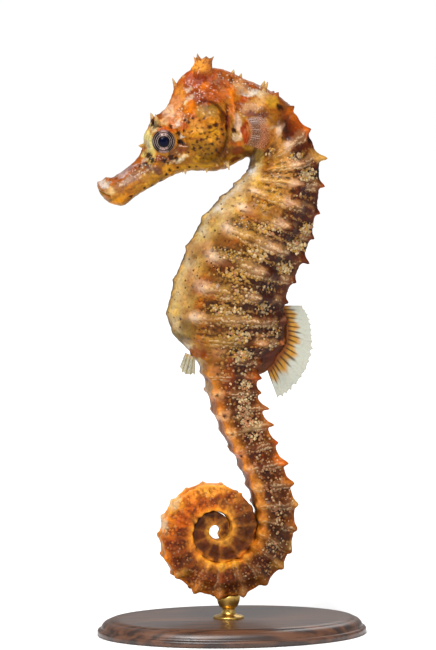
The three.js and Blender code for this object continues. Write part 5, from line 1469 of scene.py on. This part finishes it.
def make_vent_fin():
    """A small fan below the belly's end, with one dark spot."""
    feet = [(-8.0, 0, 48.1), (-7.6, 0, 47.9), (-7.1, 0, 47.7), (-6.6, 0, 47.5), (-6.3, 0, 47.4)]
    tips = [(-9.0, 0, 45.5), (-8.6, 0, 44.7), (-8.0, 0, 44.2), (-7.2, 0, 44.15), (-6.4, 0, 44.2)]

    def coat(ray, r, on_ray, sheet):
        spot = bell(ray, 2.2, .35) * bell(r, .62, .09)
        colour = covered(rgb("98906A"), ("6C5A2C", on_ray * .6), ("3A3020", .8 * spot),
                         ("B09048", drop(.1, .3, r)))
        return colour, .9 - .3 * (1 - on_ray)

    fin_sheet("vent_fin_film", "vent_fin", feet, tips, VENT_FIN_RAYS, .15, .08, .06, coat, 4)


def make_side_fin(side, name):
    """A clear fan behind the gill cover, its feet on an arc, standing a little out from the neck."""
    share = np.linspace(-1, 1, 9)
    foot = np.stack([2.15 - .75 * share ** 2, 4.45 - .25 * share ** 2, 85.8 - 2.2 * share], 1)
    spread, out = np.radians(-13 * share - 3), np.radians(15)
    flat = np.cos(out)
    way = np.stack([np.cos(spread) * flat, 0 * share + np.sin(out), np.sin(spread) * flat], 1)
    tip = foot + way * 3.75 * (1 - .12 * share ** 2)[:, None]

    def coat(ray, r, on_ray, sheet):
        """Brown, pinker towards the margin and greyer on the first rays, with pale streaks."""
        streaks = step(-.2, .4, unevenness(sheet * (.4, 1, 1.4), 1.4, 43)) * hill(.08, .15, .45, .6, r)
        colour = covered(rgb("785038"), ("B06C48", step(.45, .7, r) * .8),
                         ("988480", drop(2, 4.5, ray) * .6), ("C8B0A4", on_ray * streaks * .6),
                         ("C87C50", drop(.08, .2, r) * .8))
        return colour, .46 + .25 * on_ray * streaks - .32 * step(.55, .98, r) - .12 * drop(.5, 2.5, ray)

    order = slice(None, None, -side)  # the feet run the other way on the other side, to face outwards
    place = (1, side, 1)
    fin_sheet("side_fin_film_" + name, "side_fin_" + name, (foot * place)[order], (tip * place)[order],
              SIDE_FIN_RAYS, .1, .1, .04, coat, 5)


# ---- the stand ----
BASE_LENGTH, BASE_WIDTH, BASE_HEIGHT = 46, 34, 2.6
# the base's moulding: in from the edge, height
BASE_PROFILE = [(.25, 0), (0, 0), (0, .75), (.12, .95), (.45, 1.05), (.6, 1.15), (.62, 1.35), (.8, 1.75),
                (1.2, 2.15), (1.75, 2.4), (2.1, 2.44), *((i, BASE_HEIGHT) for i in (2.2, 4, 9, 14))]
ROD_X, ROD_RADIUS, ROD_TOP = -.6, 1.1, 4.3
COLLAR = [(2.6, 2.55), (2.6, 2.85), (2.45, 3), (2.1, 3.05), (1.9, 3.15), (1.55, 3.22), (1.25, 3.45),
          (ROD_RADIUS, 3.8), (ROD_RADIUS, ROD_TOP)]  # radius, height
CUP_RADIUS, CUP_WALL = 2, .35
CUP_GAP = .04  # between the cup's rim and the skin


def make_base():
    """An oval base: its moulded edge is a profile carried round the oval, then drawn in to the middle."""
    turn = round_turns(160)
    inward, height = np.array(BASE_PROFILE).T[..., None]
    long, wide = BASE_LENGTH / 2 - inward, BASE_WIDTH / 2 - inward
    points, faces = closed_form(np.stack([long * np.cos(turn), wide * np.sin(turn), height + 0 * turn], -1))
    points[-1], points[-2] = (0, 0, BASE_HEIGHT), (0, 0, 0)
    make_piece("stand_oval", points, faces, wood_finish(), ["stand_base"])


def make_rod():
    """A collar, a short rod and a cup, turned about one axis; the cup's rim rises and falls with the
    underside of the coil, which it almost touches all the way round."""
    turn = round_turns(64)
    skin = skin_place.reshape(-1, 3)
    skin = skin[(skin[:, 2] < 12) & (np.abs(skin[:, 0] - ROD_X) < 4)]

    def ring_at(radius, height):
        return np.stack([ROD_X + radius * np.cos(turn), radius * np.sin(turn), 0 * turn + height], -1)

    def underside(radius):
        """The skin's lowest height close to each point of a ring, and to the two on either side of it."""
        x, y, z = ring_at(radius, 0).T
        near = np.hypot(skin[:, 0] - x[:, None], skin[:, 1] - y[:, None]) < .45
        low = np.where(near, skin[:, 2], 99).min(1) - CUP_GAP
        return np.minimum.reduce([np.roll(low, k) for k in range(-2, 3)])

    inside = CUP_RADIUS - CUP_WALL
    rim, inner = underside(CUP_RADIUS), underside(inside)
    rings = [ring_at(radius, height) for radius, height in smooth_line(COLLAR, 3 * len(COLLAR) - 2)]
    for share in np.linspace(.15, 1, 6):
        flare = (CUP_RADIUS - ROD_RADIUS) * math.sin(share * math.pi / 2)
        rings.append(ring_at(ROD_RADIUS + flare, ROD_TOP + (rim - .25 - ROD_TOP) * share ** 1.6))
    rings += [ring_at(CUP_RADIUS, rim - .06), ring_at(CUP_RADIUS - .08, rim),
              ring_at(inside + .08, np.minimum(rim, inner)), ring_at(inside, inner - .08),
              ring_at(inside * .8, inner - .3), ring_at(inside * .4, inner.min() - .45)]
    points, faces = closed_form(np.array(rings))
    make_piece("stand_cup", points, faces, brass_finish(), ["stand_rod"])


trim_material, eye_material, fin_material = trim_finish("trim_skin", .2, .3), eye_finish(), fin_finish()
make_skin()
make_granules()
make_crown()
make_spines()
make_back_fin()
make_vent_fin()
make_base()
make_rod()
for side, name in ((-1, "left"), (1, "right")):
    make_eye(side, name)
    make_side_fin(side, name)

# ---- floor, light and camera ----
FLOOR_HALF, FLOOR_DROP = 6000, .1
floor_mesh = bpy.data.meshes.new("floor")
corners = np.array([(-1, -1), (1, -1), (1, 1), (-1, 1)]) * FLOOR_HALF * MM
floor_mesh.from_pydata([(x, y, -FLOOR_DROP * MM) for x, y in corners], [], [(0, 1, 2, 3)])
floor_mesh.materials.append(floor_finish())
floor = bpy.data.objects.new("floor", floor_mesh)
bpy.context.scene.collection.objects.link(floor)


def hang(thing, place, sight):
    """Puts a lamp or the camera at a place, facing along its line of sight."""
    thing.location = place
    thing.rotation_mode = "QUATERNION"
    thing.rotation_quaternion = Vector(sight).to_track_quat("-Z", "Y")
    bpy.context.scene.collection.objects.link(thing)


def soft_light(name, place, size, power):
    """A square panel of light, millimetres a side, that faces the animal's middle."""
    lamp = bpy.data.lights.new(name, "AREA")
    lamp.size, lamp.energy = size * MM, power
    place = np.array(place) * MM
    hang(bpy.data.objects.new(name, lamp), place, np.array(BODY_MIDDLE) * MM - place)


BODY_MIDDLE = (0, 0, 52)
soft_light("key_panel", (-260, -440, 470), 120, 2.2)
soft_light("fill_panel", (320, -560, 140), 260, .35)
soft_light("rear_panel", (180, 420, 420), 300, .8)

sky = bpy.data.lights.new("overhead", "SUN")
sky.energy, sky.angle = 2.7, math.radians(40)
hang(bpy.data.objects.new("overhead", sky), (0, 0, 0), (.25, .55, -1))

world = bpy.data.worlds.new("studio")
world.use_nodes = True
background = world.node_tree.nodes["Background"]
background.inputs["Color"].default_value = (1, 1, 1, 1)
background.inputs["Strength"].default_value = .38
bpy.context.scene.world = world
bpy.context.scene.view_settings.view_transform = "Standard"

PIXEL_MM, PICTURE_HEIGHT = .17, 650  # one pixel at the animal's distance; the picture is 436 by 650
CAMERA_YAW, CAMERA_RISE, CAMERA_DISTANCE = math.radians(10), math.radians(6), 1200
ORIGIN_PIXEL = (232, 633)  # where the row frame's origin stands in the picture
MIDDLE_PIXEL = (218, 325)
SENSOR = 36

right = np.array((math.cos(CAMERA_YAW), -math.sin(CAMERA_YAW), 0))
level = np.array((math.sin(CAMERA_YAW), math.cos(CAMERA_YAW), 0))
sight = level * math.cos(CAMERA_RISE) - np.array((0, 0, math.sin(CAMERA_RISE)))
above = np.cross(right, sight)
aim = right * (MIDDLE_PIXEL[0] - ORIGIN_PIXEL[0]) + above * (ORIGIN_PIXEL[1] - MIDDLE_PIXEL[1])
camera = bpy.data.objects.new("camera", bpy.data.cameras.new("camera"))
camera.data.sensor_width = SENSOR
camera.data.lens = SENSOR * CAMERA_DISTANCE / (PICTURE_HEIGHT * PIXEL_MM)
camera.data.clip_end = 100
hang(camera, (aim * PIXEL_MM - sight * CAMERA_DISTANCE) * MM, sight)
bpy.context.scene.camera = camera
